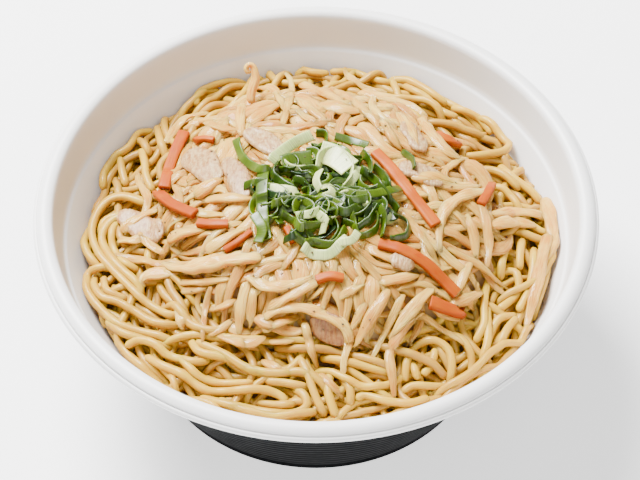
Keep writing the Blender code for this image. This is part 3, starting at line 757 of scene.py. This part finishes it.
def make_hero_sprouts(batch, chance):
    """The sprouts that stand out, and the one that rises at the far side with its curled head."""
    for width, tone, pixels in HERO_SPROUTS:
        radius = 0.5 * width / PIXELS_PER_MM
        path, radii = lay_from_view(pixels, radius, flat=SPROUT_FLAT, taper=sprout_taper,
                                    stiffness=50, tuck=0.8, above=2.0)
        sweep_sprout(batch, path, radii, tone, chance)
    foot = np.array(STANDING_SPROUT[:1], dtype=float)
    start = np.append(at_height(foot, STANDING_FOOT)[0], STANDING_FOOT)
    line = curve_through(STANDING_SPROUT, 8) - foot
    line = start + (line[:, :1] * RIGHT - line[:, 1:] * UP) / PIXELS_PER_MM
    last = len(STANDING_RADII) - 1
    widths = np.interp(np.linspace(0, last, len(line)), np.arange(last + 1), STANDING_RADII)
    points, faces, grain = body_along(line, widths, flat=0.9, sides=np.tile(FORWARD, (len(line), 1)),
                                      around=14, ridges=sprout_ridges(chance), spacing=0.8)
    batch.add(points, faces, 0.95, grain * (1.0, 1.0, 0.12))


# CARROT

CARROT_THICKNESS = 2.3
# Carrot strips: width in pixels, and route
CARROTS = routes(1, """
12 184,133 177,148 170,166 164,188
12 158,193 170,203 182,209 195,214
9 198,223 212,224 228,224
12 375,152 390,167 405,186 421,206 436,225
12 379,243 400,249 424,262 441,278 457,294
14 430,302 446,308 463,314
10 436,134 446,139 458,144
9 492,185 487,194 481,204
6 196,140 205,139 214,140
6 225,250 238,242 251,232
7 286,228 290,234 293,242
9 316,280 330,276 343,278
""")


def make_carrots(chance):
    """The carrot strips, cut square and softened, as one piece."""
    batch = Batch()
    for width, pixels in CARROTS:
        radius = 0.5 * width / PIXELS_PER_MM
        flat = 0.5 * CARROT_THICKNESS / radius
        path, radii = lay_from_view(pixels, radius, flat=flat, stiffness=40, above=2.6)
        wobble = noise_of(chance)
        points, faces, grain = body_along(path, radii, flat=flat, around=16, square=4.5, spacing=1.2,
                                          blunt=True,
                                          ridges=lambda s, a: 1 + 0.05 * wobble(s)[:, None] + 0 * a)
        grain[:, 2] = 0.2 * grain[:, 2] + 30 * chance.random()
        batch.add(points, faces, chance.random(), grain)
    return batch.piece("carrot_strips", carrot_material())


# PORK

PORK_THICKNESS = 1.7
PORK_STEP = 1.3
# Pork slices: width in pixels, tone from pale to brown, and route of the middle
PORK = routes(2, """
30 0.35 187,150 198,160 208,171 218,183
22 0.55 226,160 233,172 240,186 247,200
24 0.3 246,132 260,140 274,150 287,158
24 0.4 398,168 414,172 430,178 446,186
20 0.9 310,332 324,334 338,340 350,346
26 0.45 118,214 134,222 148,232 160,244
20 0.3 404,122 414,138 424,154
18 0.2 390,258 402,262 414,268
""")


def slice_body(path, half_width, chance, thickness, columns=9):
    """Thin slice along a path on the relief, wavy, with an uneven rounded outline."""
    line = resample(path, PORK_STEP)
    steps = np.gradient(line[:, :2], axis=0)
    across = unit(np.column_stack([-steps[:, 1], steps[:, 0]]))
    share = np.linspace(-1, 1, len(line))
    outline = np.sqrt(np.clip(1 - np.abs(share) ** 3.5, 0.04, 1))
    left, right = noise_of(chance), noise_of(chance)
    place = np.arange(len(line)) * PORK_STEP
    grid = np.zeros((len(line), columns, 3))
    for k, t in enumerate(np.linspace(-1, 1, columns)):
        edge = outline * (1 + 0.22 * (left(place) if t < 0 else right(place)))
        grid[:, k, :2] = line[:, :2] + across * (half_width * t * edge)[:, None]
    flat_places = grid[:, :, :2].reshape(-1, 2)
    radii = np.full(len(flat_places), 1.1)
    needed = settle(flat_places, radii, flat=0.5, give=0.1, stiffness=0).reshape(grid.shape[:2])
    heights = needed.copy()
    for _ in range(10):
        padded = np.pad(heights, 1, mode="edge")
        middle = 0.25 * (padded[:-2, 1:-1] + padded[2:, 1:-1] + padded[1:-1, :-2] + padded[1:-1, 2:])
        heights = np.maximum(needed - 0.4, middle)
    heights = np.minimum(heights, food_top(grid[:, :, 0], grid[:, :, 1]))
    ripple = noise_of(chance, 2)
    grid[:, :, 2] = heights + 0.5 * thickness + 0.25 * ripple(place)[:, None]
    return grid


def make_pork(chance):
    """The thin pork slices, as one piece."""
    batch = Batch()
    for width, tone, pixels in PORK:
        route = resample(curve_through(pixels), PIXELS_PER_MM)
        heights = food_top(*at_height(route, RIM_MIDDLE[2]).T)
        plan = at_height(route, heights)
        grid = slice_body(plan, 0.5 * width / PIXELS_PER_MM, chance, PORK_THICKNESS)
        rows, columns = grid.shape[:2]
        edge = np.ones((rows, columns))
        edge[0, :] = edge[-1, :] = edge[:, 0] = edge[:, -1] = 0.35
        lift = 0.5 * PORK_THICKNESS * edge
        upper, lower = grid.copy(), grid.copy()
        upper[:, :, 2] += lift
        lower[:, :, 2] -= lift
        points = np.vstack([upper.reshape(-1, 3), lower.reshape(-1, 3)])
        faces = []
        total = rows * columns
        for i in range(rows - 1):
            for j in range(columns - 1):
                a = i * columns + j
                faces.append((a, a + 1, a + columns + 1, a + columns))
                faces.append((total + a, total + a + columns, total + a + columns + 1, total + a + 1))
        index = np.arange(total).reshape(rows, columns)
        rim = [*index[0], *index[1:, -1], *index[-1, -2::-1], *index[-2:0:-1, 0]]
        for a, b in zip(rim, rim[1:] + rim[:1]):
            faces.append((a, b, total + b, total + a))
        tops = upper.reshape(-1, 3)
        stamp(tops[:, :2], tops[:, 2] - 0.4, np.ones(len(tops)), 0.4)
        grain = points * (0.9, 0.25, 0.0) + (0.0, 0.0, 30 * chance.random())
        batch.add(points, faces, tone, grain)
    return batch.piece("pork_slices", pork_material())


# SPRING ONION

ONION_THICKNESS = 0.75
# Mound of random curls: its middle, its reach along and across, and how many there are
ONION_MIDDLE = (3.0, 2.0)
ONION_REACH = (25.0, 20.0)
ONION_COUNT = 88
# Part of a carrot strip that no curl covers, in the photograph, and how far the curls stay from it
BARE_STRIP = [(375, 152), (390, 167), (405, 186)]
BARE_WIDTH = 4.5
# Cut rings and strips of leaf: width in pixels, tilt in degrees (0 lies flat, 90 stands), tone from
# dark green to pale, and route, lowest first
GREENS = routes(3, """
9 60 0.15 360,168 374,180 386,194 398,210
9 60 0.1 374,166 385,178 391,192
8 70 0.2 394,214 408,222 406,236 390,238
9 50 0.2 330,205 345,212 360,206
12 20 0.35 264,166 262,186 262,206 263,222 266,240
10 15 0.45 254,214 262,228 258,242
9 60 0.3 290,232 300,240 312,246
8 55 0.05 284,240 296,234 304,226
8 70 0.2 343,220 358,226 372,218 378,206
9 45 0.4 236,139 239,150 246,161 257,168 270,170
8 50 0.3 244,186 256,182 272,183
8 30 0.35 335,136 352,141 368,145
14 20 0.3 282,162 296,159 312,157
9 75 0.25 316,133 326,134 324,146 314,148
10 60 0.1 276,162 272,174 282,184 298,192
8 60 0.3 300,170 312,168 320,172
8 55 0.4 272,207 284,200 300,200 312,206 308,216
9 70 0.35 282,214 296,222 314,226 332,222
9 50 0.5 300,212 296,222 304,232
9 60 0.45 304,236 322,244 338,240 346,228
8 45 0.25 338,196 352,200 368,198
8 30 0.4 340,190 358,194 378,193 400,188
9 65 0.15 362,152 370,162 370,178
8 70 0.4 352,214 356,228 368,234 378,226 376,212
8 65 0.3 316,208 326,216
9 60 0.3 380,206 384,220 382,236
7 40 0.5 318,196 332,200 344,206
7 60 0.2 402,150 412,158 414,168
""")
WHITES = routes(3, """
22 20 0.9 320,152 334,156 350,168
11 35 0.75 272,163 284,150 298,141 312,135
10 20 0.9 270,189 286,190 302,195
13 70 0.8 318,170 322,156 336,152 349,162 350,176 342,188
10 40 0.85 320,188 330,186 333,194 324,198
9 55 0.8 320,170 316,180 320,190
10 25 0.85 303,246 318,252 332,250 348,238
9 40 0.8 318,214 326,222 322,234
8 30 0.7 346,188 352,182 358,176
8 40 0.75 296,216 310,214 320,210
8 30 0.9 340,242 352,240 358,232
""")


def facing(plan, heights, lean):
    """Directions of a ribbon's width, leaning to the side that shows its face to the camera."""
    path = np.column_stack([plan, heights])
    forward = np.gradient(path, axis=0)
    level = unit(np.column_stack([forward[:, 1], -forward[:, 0], np.zeros(len(path))]))
    rise = np.array([0.0, 0.0, 1.0])
    options = []
    for sign in (1.0, -1.0):
        sides = sign * level * np.cos(lean)[:, None] + rise * np.sin(lean)[:, None]
        normal = unit(np.cross(sides, forward))
        options.append((np.abs(normal @ FORWARD).mean(), sides))
    return max(options, key=lambda option: option[0])[1]


def lay_ribbon(batch, plan_at, count, half, tilt, tone, chance, first):
    """One cut of leaf on the relief, with one edge down where it stands."""
    lean = np.radians(tilt) + 0.3 * noise_of(chance)(np.arange(count) * STEP)
    thin = 0.5 * ONION_THICKNESS
    rise = np.maximum(half * np.abs(np.sin(lean)), thin)
    foot = np.maximum(half * np.abs(np.cos(lean)), thin)
    heights = np.full(count, first)
    for _ in range(3):
        plan = plan_at(heights)
        heights = settle(plan, foot, flat=0.25, give=0.5, stiffness=8) + rise
        heights = np.minimum(heights, HEAP_LIMIT - thin - rise)
    stamp(plan, heights - 0.5 * rise, 0.6 * foot + 0.4, flat=0.5)
    sides = facing(plan, heights, lean)
    path = np.column_stack([plan, heights])
    batch.sweep(path, np.full(count, half), tone, chance, 1.0, 50, flat=thin / half, sides=sides,
                around=12, square=3.2, spacing=0.9, blunt=True)


def make_onion(chance):
    """The spring onion: a bed of small curls, then the green and the pale cuts that stand out."""
    greens, whites = Batch(), Batch()
    strip = resample(at_height(BARE_STRIP, SPROUT_CROWN), 1.0)
    laid = 0
    while laid < ONION_COUNT:
        angle = chance.uniform(0, math.tau)
        reach = math.sqrt(chance.random())
        middle = ONION_MIDDLE + reach * np.array(ONION_REACH) * (math.cos(angle), math.sin(angle))
        radius = chance.uniform(2.6, 6.0)
        turn = chance.uniform(1.6, 5.2) * (1 if chance.random() < 0.5 else -1)
        start = chance.uniform(0, math.tau)
        count = max(6, int(abs(turn) * radius / STEP))
        bearing = start + np.linspace(0, turn, count)
        plan = middle + radius * np.column_stack([np.cos(bearing), 0.85 * np.sin(bearing)])
        apart = ((plan - ONION_MIDDLE) / (np.array(ONION_REACH) * 1.08)) ** 2
        if apart.sum(axis=1).max() > 1.0:
            continue
        if np.linalg.norm(plan[:, None] - strip, axis=2).min() < BARE_WIDTH:
            continue
        pale = chance.random() < 0.10
        tone = chance.uniform(0.6, 0.95) if pale else chance.uniform(0.0, 0.55)
        lay_ribbon(whites if pale else greens, lambda heights: plan, count, chance.uniform(1.1, 1.9),
                   chance.uniform(25, 85), tone, chance, 70.0)
        laid += 1
    for batch, cuts in ((greens, GREENS), (whites, WHITES)):
        for width, tilt, tone, pixels in cuts:
            route = resample(curve_through(pixels), STEP * PIXELS_PER_MM)
            lay_ribbon(batch, lambda heights: at_height(route, heights), len(route),
                       0.55 * width / PIXELS_PER_MM, tilt, tone, chance, 74.0)
    green = onion_material("onion_green", (0.005, 0.026, 0.0005), (0.14, 0.21, 0.002))
    white = onion_material("onion_white", (0.19, 0.30, 0.04), (0.53, 0.59, 0.25))
    return greens.piece("onion_greens", green), whites.piece("onion_whites", white)


# PEPPER

PEPPER_COUNT = 110
PEPPER_SEED = 8


def make_pepper():
    """Specks of ground pepper on the heap."""
    chance = np.random.default_rng(PEPPER_SEED)
    batch = Batch()
    base = np.array([(1, 0, 0), (-1, 0, 0), (0, 1, 0), (0, -1, 0), (0, 0, 1), (0, 0, -1)], dtype=float)
    faces = [(0, 2, 4), (2, 1, 4), (1, 3, 4), (3, 0, 4), (2, 0, 5), (1, 2, 5), (3, 1, 5), (0, 3, 5)]
    for _ in range(PEPPER_COUNT):
        angle = chance.uniform(0, math.tau)
        reach = 0.86 * sprout_reach(angle) * math.sqrt(chance.random())
        place = np.array([[reach * math.cos(angle), reach * math.sin(angle)]])
        rows, columns = cells(place)
        size = chance.uniform(0.3, 0.75)
        shape = base * chance.uniform(0.6, 1.2, (6, 1)) * (size, size * 0.8, size * 0.6)
        turn = chance.uniform(0, math.tau)
        spin = np.array([(math.cos(turn), -math.sin(turn), 0), (math.sin(turn), math.cos(turn), 0),
                         (0, 0, 1)])
        points = shape @ spin.T + (place[0, 0], place[0, 1], relief[rows, columns][0])
        batch.add(points, faces, chance.random(), points)
    ground = core_material("pepper", (0.05, 0.025, 0.012), (0.16, 0.10, 0.03))
    return batch.piece("pepper_specks", ground)


# BOWL

def turned(name, section, segments, made):
    """Closed body of revolution from a section of (radius, height) points, from axis to axis."""
    angles = math.tau * np.arange(segments) / segments
    points, rings = [], []
    for radius, height in section:
        if radius < 1e-6:
            rings.append([len(points)] * segments)
            points.append((0.0, 0.0, height))
        else:
            rings.append(list(range(len(points), len(points) + segments)))
            points.extend((radius * math.cos(a), radius * math.sin(a), height) for a in angles)
    faces = []
    for low, high in zip(rings, rings[1:]):
        for k in range(segments):
            after = (k + 1) % segments
            corners = [low[k], low[after], high[after], high[k]]
            faces.append(tuple(dict.fromkeys(corners)))
    return closed_object(name, points, faces, made)


def arc(middle, radius, start, turn, count):
    """Points along a circular arc in a plane, with angles in degrees."""
    angles = np.radians(np.linspace(start, start + turn, count))
    return [(middle[0] + radius * math.cos(a), middle[1] + radius * math.sin(a)) for a in angles]


def rounded(section, radius=0.5, steps=4):
    """Round the corners of an open section."""
    line = [np.array(section[0], dtype=float)]
    for before, corner, after in zip(section, section[1:], section[2:]):
        before, corner, after = (np.array(p, dtype=float) for p in (before, corner, after))
        back, on = before - corner, after - corner
        room = min(radius, 0.45 * np.linalg.norm(back), 0.45 * np.linalg.norm(on))
        start = corner + back / np.linalg.norm(back) * room
        end = corner + on / np.linalg.norm(on) * room
        for t in np.linspace(0, 1, steps):
            line.append((1 - t) ** 2 * start + 2 * t * (1 - t) * corner + t ** 2 * end)
    line.append(np.array(section[-1], dtype=float))
    return [tuple(p) for p in line]


def outer_wall(ribbed):
    """Outside of the bowl from its foot to under the rim, with the film's fine ribs."""
    places = []
    inset = FILM + 0.05 + RIB_DEPTH
    for height in np.arange(WALL_START, WALL_END, RIB_SPACING if ribbed else 6.0):
        radius = wall_radius(height) + WALL
        rib = 0.5 - 0.5 * math.cos(math.tau * height / RIB_STEP)
        places.append((radius - (RIB_DEPTH * rib ** 3 if ribbed else inset), height))
    upper = [(87.9, LEDGE_HEIGHT), (89.5, 65.6)]
    return places + [(radius - (0.0 if ribbed else inset), height) for radius, height in upper]


def foam_section():
    """Section of the white foam: inside the film, up under the rim, over it and down inside."""
    under = [(0.0, 2.1), (49.0, 2.1), (58.0, 2.1)]
    rim = [(89.9, 65.9), (94.6, 65.9), (RIM_RADIUS, 66.25), (RIM_RADIUS, 67.2), (94.6, 67.75),
           (94.05, 67.9), (93.75, 67.55), (93.45, 67.7)]
    crest = arc((91.0, 66.55), 3.4, 32, 78, 9)
    inner = [(88.9, 69.3), (88.25, 68.1), (86.15, 57.4), (85.5, 55.9), (LEDGE_INNER, 55.3)]
    inner += [(wall_radius(height), height) for height in (46.0, 20.0, 9.0)]
    inner += [(54.0, 4.0), (48.0, FLOOR_HEIGHT)]
    line = rounded(under + outer_wall(False) + rim, 0.35) + crest + rounded(inner, 1.0, 5)
    return line + [(0.0, FLOOR_HEIGHT)]


def film_section():
    """Section of the thin black film on the outside and the foot."""
    wall = outer_wall(True)
    outside = [(0.0, 1.5), (49.5, 1.5), (51.0, 0.0), (59.0, 0.0)] + wall
    inside = [((wall_radius(height) + WALL if height < WALL_END else radius) - FILM - RIB_DEPTH, height)
              for radius, height in reversed(wall[1:])]
    return outside + inside + [(58.0, 2.0), (0.0, 2.0)]


def make_bowl():
    """White foam and its black film."""
    return (turned("bowl_foam", foam_section(), BOWL_SEGMENTS, foam_material()),
            turned("bowl_film", film_section(), BOWL_SEGMENTS, film_material()))


# MATERIALS

def add_node(made, kind, output, inputs, **settings):
    """Output of a new node; each of its inputs gets a value or another node's output."""
    node = made.node_tree.nodes.new(kind)
    for key, value in settings.items():
        setattr(node, key, value)
    for key, value in inputs.items():
        if isinstance(value, bpy.types.NodeSocket):
            link(made, value, node.inputs[key])
        else:
            node.inputs[key].default_value = value
    return node.outputs[output]


def link(made, start, end):
    """Join two sockets."""
    made.node_tree.links.new(start, end)


def new_material(name, roughness, scatter=None, coat=None, **values):
    """A Principled material with values set on the shader's own sockets; give it and its inputs.

    scatter is the weight and the radii of the light scattered under the surface, and coat is the
    weight and the roughness of the gloss over it.
    """
    made = bpy.data.materials.new(name)
    made.use_nodes = True
    surface = made.node_tree.nodes["Principled BSDF"].inputs
    if scatter:
        values.update(Subsurface_Weight=scatter[0], Subsurface_Radius=scatter[1:], Subsurface_Scale=1.0)
    if coat:
        values.update(Coat_Weight=coat[0], Coat_Roughness=coat[1])
    for socket, value in {"Roughness": roughness, **values}.items():
        surface[socket.replace("_", " ")].default_value = value
    return made, surface


def colour_ramp(made, source, stops):
    """Colours along a value from 0 to 1."""
    node = made.node_tree.nodes.new("ShaderNodeValToRGB")
    elements = node.color_ramp.elements
    while len(elements) < len(stops):
        elements.new(0.5)
    for element, (place, colour) in zip(elements, stops):
        element.position = place
        element.color = (*colour, 1.0)
    link(made, source, node.inputs["Fac"])
    return node.outputs["Color"]


def noise(made, scale, detail=4.0, vector=None, roughness=0.5):
    """Noise over the object, or over a vector of its own."""
    if vector is None:
        vector = add_node(made, "ShaderNodeTexCoord", "Object", {})
    return add_node(made, "ShaderNodeTexNoise", "Fac",
                    {"Scale": scale, "Detail": detail, "Roughness": roughness, "Vector": vector})


def mix(made, share, first, second, kind="MIX"):
    """Mix of two colours, each an output or a colour."""
    first, second = ((*side, 1.0) if isinstance(side, tuple) else side for side in (first, second))
    return add_node(made, "ShaderNodeMix", 2, {0: share, 6: first, 7: second},
                    data_type="RGBA", blend_type=kind)


def tinted(made, share, colour, tint):
    """A colour, a share of the way to its product with a tint."""
    return mix(made, share, colour, mix(made, 1.0, colour, tint, "MULTIPLY"))


def scaled(made, value, low, high):
    """Stretch a value from 0 and 1 to a low and a high."""
    return add_node(made, "ShaderNodeMapRange", "Result",
                    {"To Min": low, "To Max": high, "Value": value})


def contrast(made, value, low, high, share=1.0):
    """Stretch the middle of a value to run from 0 to a share."""
    return add_node(made, "ShaderNodeMapRange", "Result",
                    {"From Min": low, "From Max": high, "To Max": share, "Value": value})


def stretched(made, vector, scale):
    """A vector scaled along each axis."""
    return add_node(made, "ShaderNodeMapping", "Vector", {"Scale": scale, "Vector": vector})


def add_bump(made, surface, height, strength, distance):
    """Bump the surface by a height."""
    normal = add_node(made, "ShaderNodeBump", "Normal",
                      {"Strength": strength, "Distance": distance, "Height": height})
    link(made, normal, surface["Normal"])


def read(made, name, output):
    """Value that the mesh holds at each point."""
    return add_node(made, "ShaderNodeAttribute", output, {}, attribute_name=name)


def split(made, vector, axis):
    """One axis of a vector."""
    return add_node(made, "ShaderNodeSeparateXYZ", axis, {"Vector": vector})


def strand_material(name, stops, streaks, under, roughness, bump, fibres=4.5, sauce=0.6, **values):
    """Food in strands: colours by tone, streaks along each strand, painted shade low on its sides, a
    gloss.
    """
    made, surface = new_material(name, roughness, **values)
    colour = colour_ramp(made, read(made, "tone", "Fac"), stops)
    grain = read(made, "grain", "Vector")
    patch = noise(made, 1.0, 2.0, stretched(made, grain, (0.5, 0.5, 1.3)))
    colour = tinted(made, contrast(made, patch, 0.42, 0.72, sauce), colour, (0.86, 0.64, 0.38))
    colour = mix(made, contrast(made, patch, 0.42, 0.25, 0.5), colour, stops[-1][1])
    fibre = noise(made, 1.0, 4.0, stretched(made, grain, (fibres, fibres, 1.0)))
    colour = tinted(made, contrast(made, fibre, 0.40, 0.66), colour, streaks)
    # Painted shade: the under tint darkens each strand's lower sides, by the height in its section.
    colour = tinted(made, contrast(made, split(made, grain, "Y"), 0.7, -0.6), colour, under)
    link(made, colour, surface["Base Color"])
    link(made, scaled(made, noise(made, 260.0, 2.0), roughness - 0.12, roughness + 0.14),
         surface["Roughness"])
    add_bump(made, surface, fibre, 0.7, bump)
    return made


def noodle_material():
    """Boiled and fried wheat noodles, pale yellow with a little sauce."""
    stops = [(0.0, (0.42, 0.235, 0.030)), (0.5, (0.52, 0.320, 0.029)), (1.0, (0.61, 0.395, 0.028))]
    # The tint (0.86, 0.67, 0.44) is painted shade on the noodles' lower sides.
    return strand_material("noodle", stops, (0.95, 0.86, 0.74), (0.86, 0.67, 0.44), 0.42, 0.0002,
                           fibres=2.5, sauce=0.4, scatter=(0.3, 0.004, 0.002, 0.0008),
                           coat=(0.18, 0.09), Specular_IOR_Level=0.2)


def sprout_material():
    """Wet bean sprouts, from browned by the pan to pale."""
    stops = [(0.0, (0.54, 0.26, 0.050)), (0.3, (0.66, 0.365, 0.070)), (0.65, (0.76, 0.45, 0.090)),
             (1.0, (0.88, 0.55, 0.14))]
    # The tint (0.97, 0.86, 0.72) is painted shade on the sprouts' lower sides.
    return strand_material("sprout", stops, (0.90, 0.73, 0.54), (0.97, 0.86, 0.72), 0.40, 0.0010,
                           sauce=0.9, scatter=(0.6, 0.005, 0.0036, 0.0018), coat=(0.28, 0.07),
                           Specular_IOR_Level=0.16)


def carrot_material():
    """Cooked carrot, orange and a little uneven."""
    stops = [(0.0, (0.34, 0.064, 0.0)), (1.0, (0.43, 0.100, 0.0))]
    # The tint (0.82, 0.62, 0.5) is painted shade on the carrot strips' lower sides.
    return strand_material("carrot", stops, (1.0, 0.72, 0.5), (0.82, 0.62, 0.5), 0.46, 0.0002,
                           scatter=(0.2, 0.004, 0.0015, 0.0005), coat=(0.04, 0.12),
                           Specular_IOR_Level=0.15)


def pork_material():
    """Thin cooked pork, pinkish beige with brown patches and fine grains."""
    stops = [(0.0, (0.64, 0.50, 0.27)), (0.5, (0.54, 0.36, 0.15)), (1.0, (0.36, 0.17, 0.04))]
    # The under tint (0.95, 0.9, 0.85) reads the grain's Y, which here is the plan's y, so it darkens
    # the slices on the near side a little.
    made = strand_material("pork", stops, (0.74, 0.54, 0.38), (0.95, 0.9, 0.85), 0.42, 0.0008,
                           fibres=1.6, scatter=(0.25, 0.004, 0.0026, 0.0015), coat=(0.15, 0.15))
    base = made.node_tree.nodes["Principled BSDF"].inputs["Base Color"]
    grains = contrast(made, noise(made, 700.0, 5.0, roughness=0.7), 0.46, 0.60, 0.8)
    link(made, tinted(made, grains, base.links[0].from_socket, (0.66, 0.50, 0.34)), base)
    return made


def onion_material(name, dark, light):
    """Spring onion leaf: veins across each cut, and a waxy gloss."""
    made, surface = new_material(name, 0.34, scatter=(0.2, 0.001, 0.002, 0.0006), coat=(0.12, 0.12))
    along = split(made, read(made, "grain", "Vector"), "Z")
    veins = noise(made, 2.4, 3.0, add_node(made, "ShaderNodeCombineXYZ", "Vector", {"Z": along}))
    colour = colour_ramp(made, read(made, "tone", "Fac"), [(0.0, dark), (1.0, light)])
    colour = tinted(made, contrast(made, veins, 0.38, 0.62), colour, (1.7, 1.55, 1.5))
    patch = scaled(made, noise(made, 140.0, 3.0), -0.35, 1.0)
    link(made, tinted(made, patch, colour, (0.45, 0.62, 0.4)), surface["Base Color"])
    add_bump(made, surface, veins, 0.4, 0.0002)
    return made


def core_material(name, light, dark):
    """Two uneven colours with a bump: painted shade for the food's cores, and the pepper's own dark
    colour.
    """
    made, surface = new_material(name, 0.6)
    shade = noise(made, 220.0, 4.0)
    link(made, colour_ramp(made, shade, [(0.35, dark), (0.65, light)]), surface["Base Color"])
    add_bump(made, surface, shade, 0.6, 0.0006)
    return made


def foam_material():
    """Smooth white foam with a faint skin texture."""
    made, surface = new_material("foam", 0.36, scatter=(0.12, 0.004, 0.004, 0.004),
                                 Specular_IOR_Level=0.5)
    grain = noise(made, 900.0, 2.0)
    stops = [(0.3, (0.88, 0.87, 0.855)), (0.7, (0.90, 0.895, 0.88))]
    link(made, colour_ramp(made, noise(made, 40.0, 2.0), stops), surface["Base Color"])
    link(made, scaled(made, grain, 0.30, 0.46), surface["Roughness"])
    add_bump(made, surface, grain, 0.12, 0.0001)
    return made


def film_material():
    """Black plastic film, satin."""
    made, surface = new_material("black_film", 0.5, IOR=1.06)
    stops = [(0.3, (0.003, 0.0035, 0.004)), (0.7, (0.006, 0.0065, 0.0075))]
    link(made, colour_ramp(made, noise(made, 60.0, 3.0), stops), surface["Base Color"])
    link(made, scaled(made, noise(made, 400.0, 2.0), 0.45, 0.62), surface["Roughness"])
    return made


def floor_material():
    """Pale, even backdrop."""
    made, surface = new_material("floor", 0.8, Emission_Color=(1.0, 1.0, 1.0, 1.0),
                                 Emission_Strength=1.1)
    stops = [(0.0, (0.90, 0.90, 0.90)), (1.0, (0.92, 0.92, 0.92))]
    link(made, colour_ramp(made, noise(made, 5.0, 2.0), stops), surface["Base Color"])
    return made



# STAGE

def make_floor():
    """Wide pale floor under the bowl."""
    mesh = bpy.data.meshes.new("floor")
    size = 3.0
    corners = [(-size, -size, 0), (size, -size, 0), (size, size, 0), (-size, size, 0)]
    mesh.from_pydata(corners, [], [(0, 1, 2, 3)])
    floor = bpy.data.objects.new("floor", mesh)
    bpy.context.scene.collection.objects.link(floor)
    mesh.materials.append(floor_material())


def make_camera():
    """Camera at the photograph's view, shifted so that the rim's middle falls on its pixel."""
    data = bpy.data.cameras.new("camera")
    data.sensor_width = SENSOR
    data.lens = FOCAL_PIXELS * SENSOR / PHOTO_SIZE[0]
    data.shift_x = (0.5 * PHOTO_SIZE[0] - RIM_PIXEL[0]) / PHOTO_SIZE[0]
    data.shift_y = (RIM_PIXEL[1] - 0.5 * PHOTO_SIZE[1]) / PHOTO_SIZE[0]
    camera = bpy.data.objects.new("camera", data)
    bpy.context.scene.collection.objects.link(camera)
    camera.location = CAMERA_PLACE * MM
    camera.rotation_euler = (math.pi / 2 - VIEW_ELEVATION, 0.0, 0.0)
    bpy.context.scene.camera = camera


def area_light(name, place, target, size, power, colour=(1.0, 1.0, 1.0)):
    """Soft square light, pointed at a place."""
    data = bpy.data.lights.new(name, "AREA")
    data.size = size
    data.energy = power
    data.color = colour
    light = bpy.data.objects.new(name, data)
    bpy.context.scene.collection.objects.link(light)
    light.location = place
    toward = np.array(target) - np.array(place)
    flat = math.hypot(toward[0], toward[1])
    light.rotation_euler = (math.atan2(flat, -toward[2]), 0.0, math.atan2(-toward[0], toward[1]))


def make_lights():
    """Soft light from behind on the left, a weaker one from the front, and a white surrounding."""
    area_light("key", (-0.50, 0.62, 1.15), (0, 0, 0.05), 0.7, 102.0)
    area_light("front", (0.1, -1.1, 1.0), (0, 0, 0.05), 1.0, 12.0)
    world = bpy.data.worlds.new("studio")
    world.use_nodes = True
    background = world.node_tree.nodes["Background"]
    background.inputs["Color"].default_value = (1.0, 1.0, 1.0, 1.0)
    background.inputs["Strength"].default_value = 0.27
    bpy.context.scene.world = world


def place(piece, slot, *nodes):
    """Let a piece ride on the body and stand for its nodes, which are hidden; slot is not used."""
    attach(piece, "root")
    if nodes:
        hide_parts(*nodes)


def main():
    """Build the scene from the bottom up, so that each piece rests on those before it."""
    make_camera()
    make_lights()
    make_floor()
    foam, film = make_bowl()
    place(foam, "foam", "bowl")
    place(film, "black_film", "bowl")
    for piece in make_noodles():
        place(piece, "noodle", "noodles")
    dome = np.where(heap_share(GRID_X, GRID_Y) < SPROUT_FOOT, FOOD_TOP - SPROUT_DEPTH, -np.inf)
    np.maximum(relief, dome, out=relief)
    chance = np.random.default_rng(SPROUT_SEED)
    bed, sprouts = Batch(), Batch()
    make_sprouts(bed, chance)
    make_top_sprouts(sprouts, chance)
    pork = make_pork(chance)
    make_hero_sprouts(sprouts, chance)
    carrots = make_carrots(chance)
    greens, whites = make_onion(chance)
    place(sprout_core(), "sprout", "sprouts")
    wet = sprout_material()
    place(bed.piece("sprout_bed", wet), "sprout", "sprouts")
    place(sprouts.piece("sprout_strands", wet), "sprout", "sprouts")
    place(pork, "pork", *[f"pork_{k}" for k in range(1, 7)])
    place(carrots, "carrot", *[f"carrot_{k}" for k in range(1, 9)])
    place(greens, "spring_onion", "spring_onion")
    place(whites, "onion_white", "spring_onion")
    place(make_pepper(), "pepper")


main()
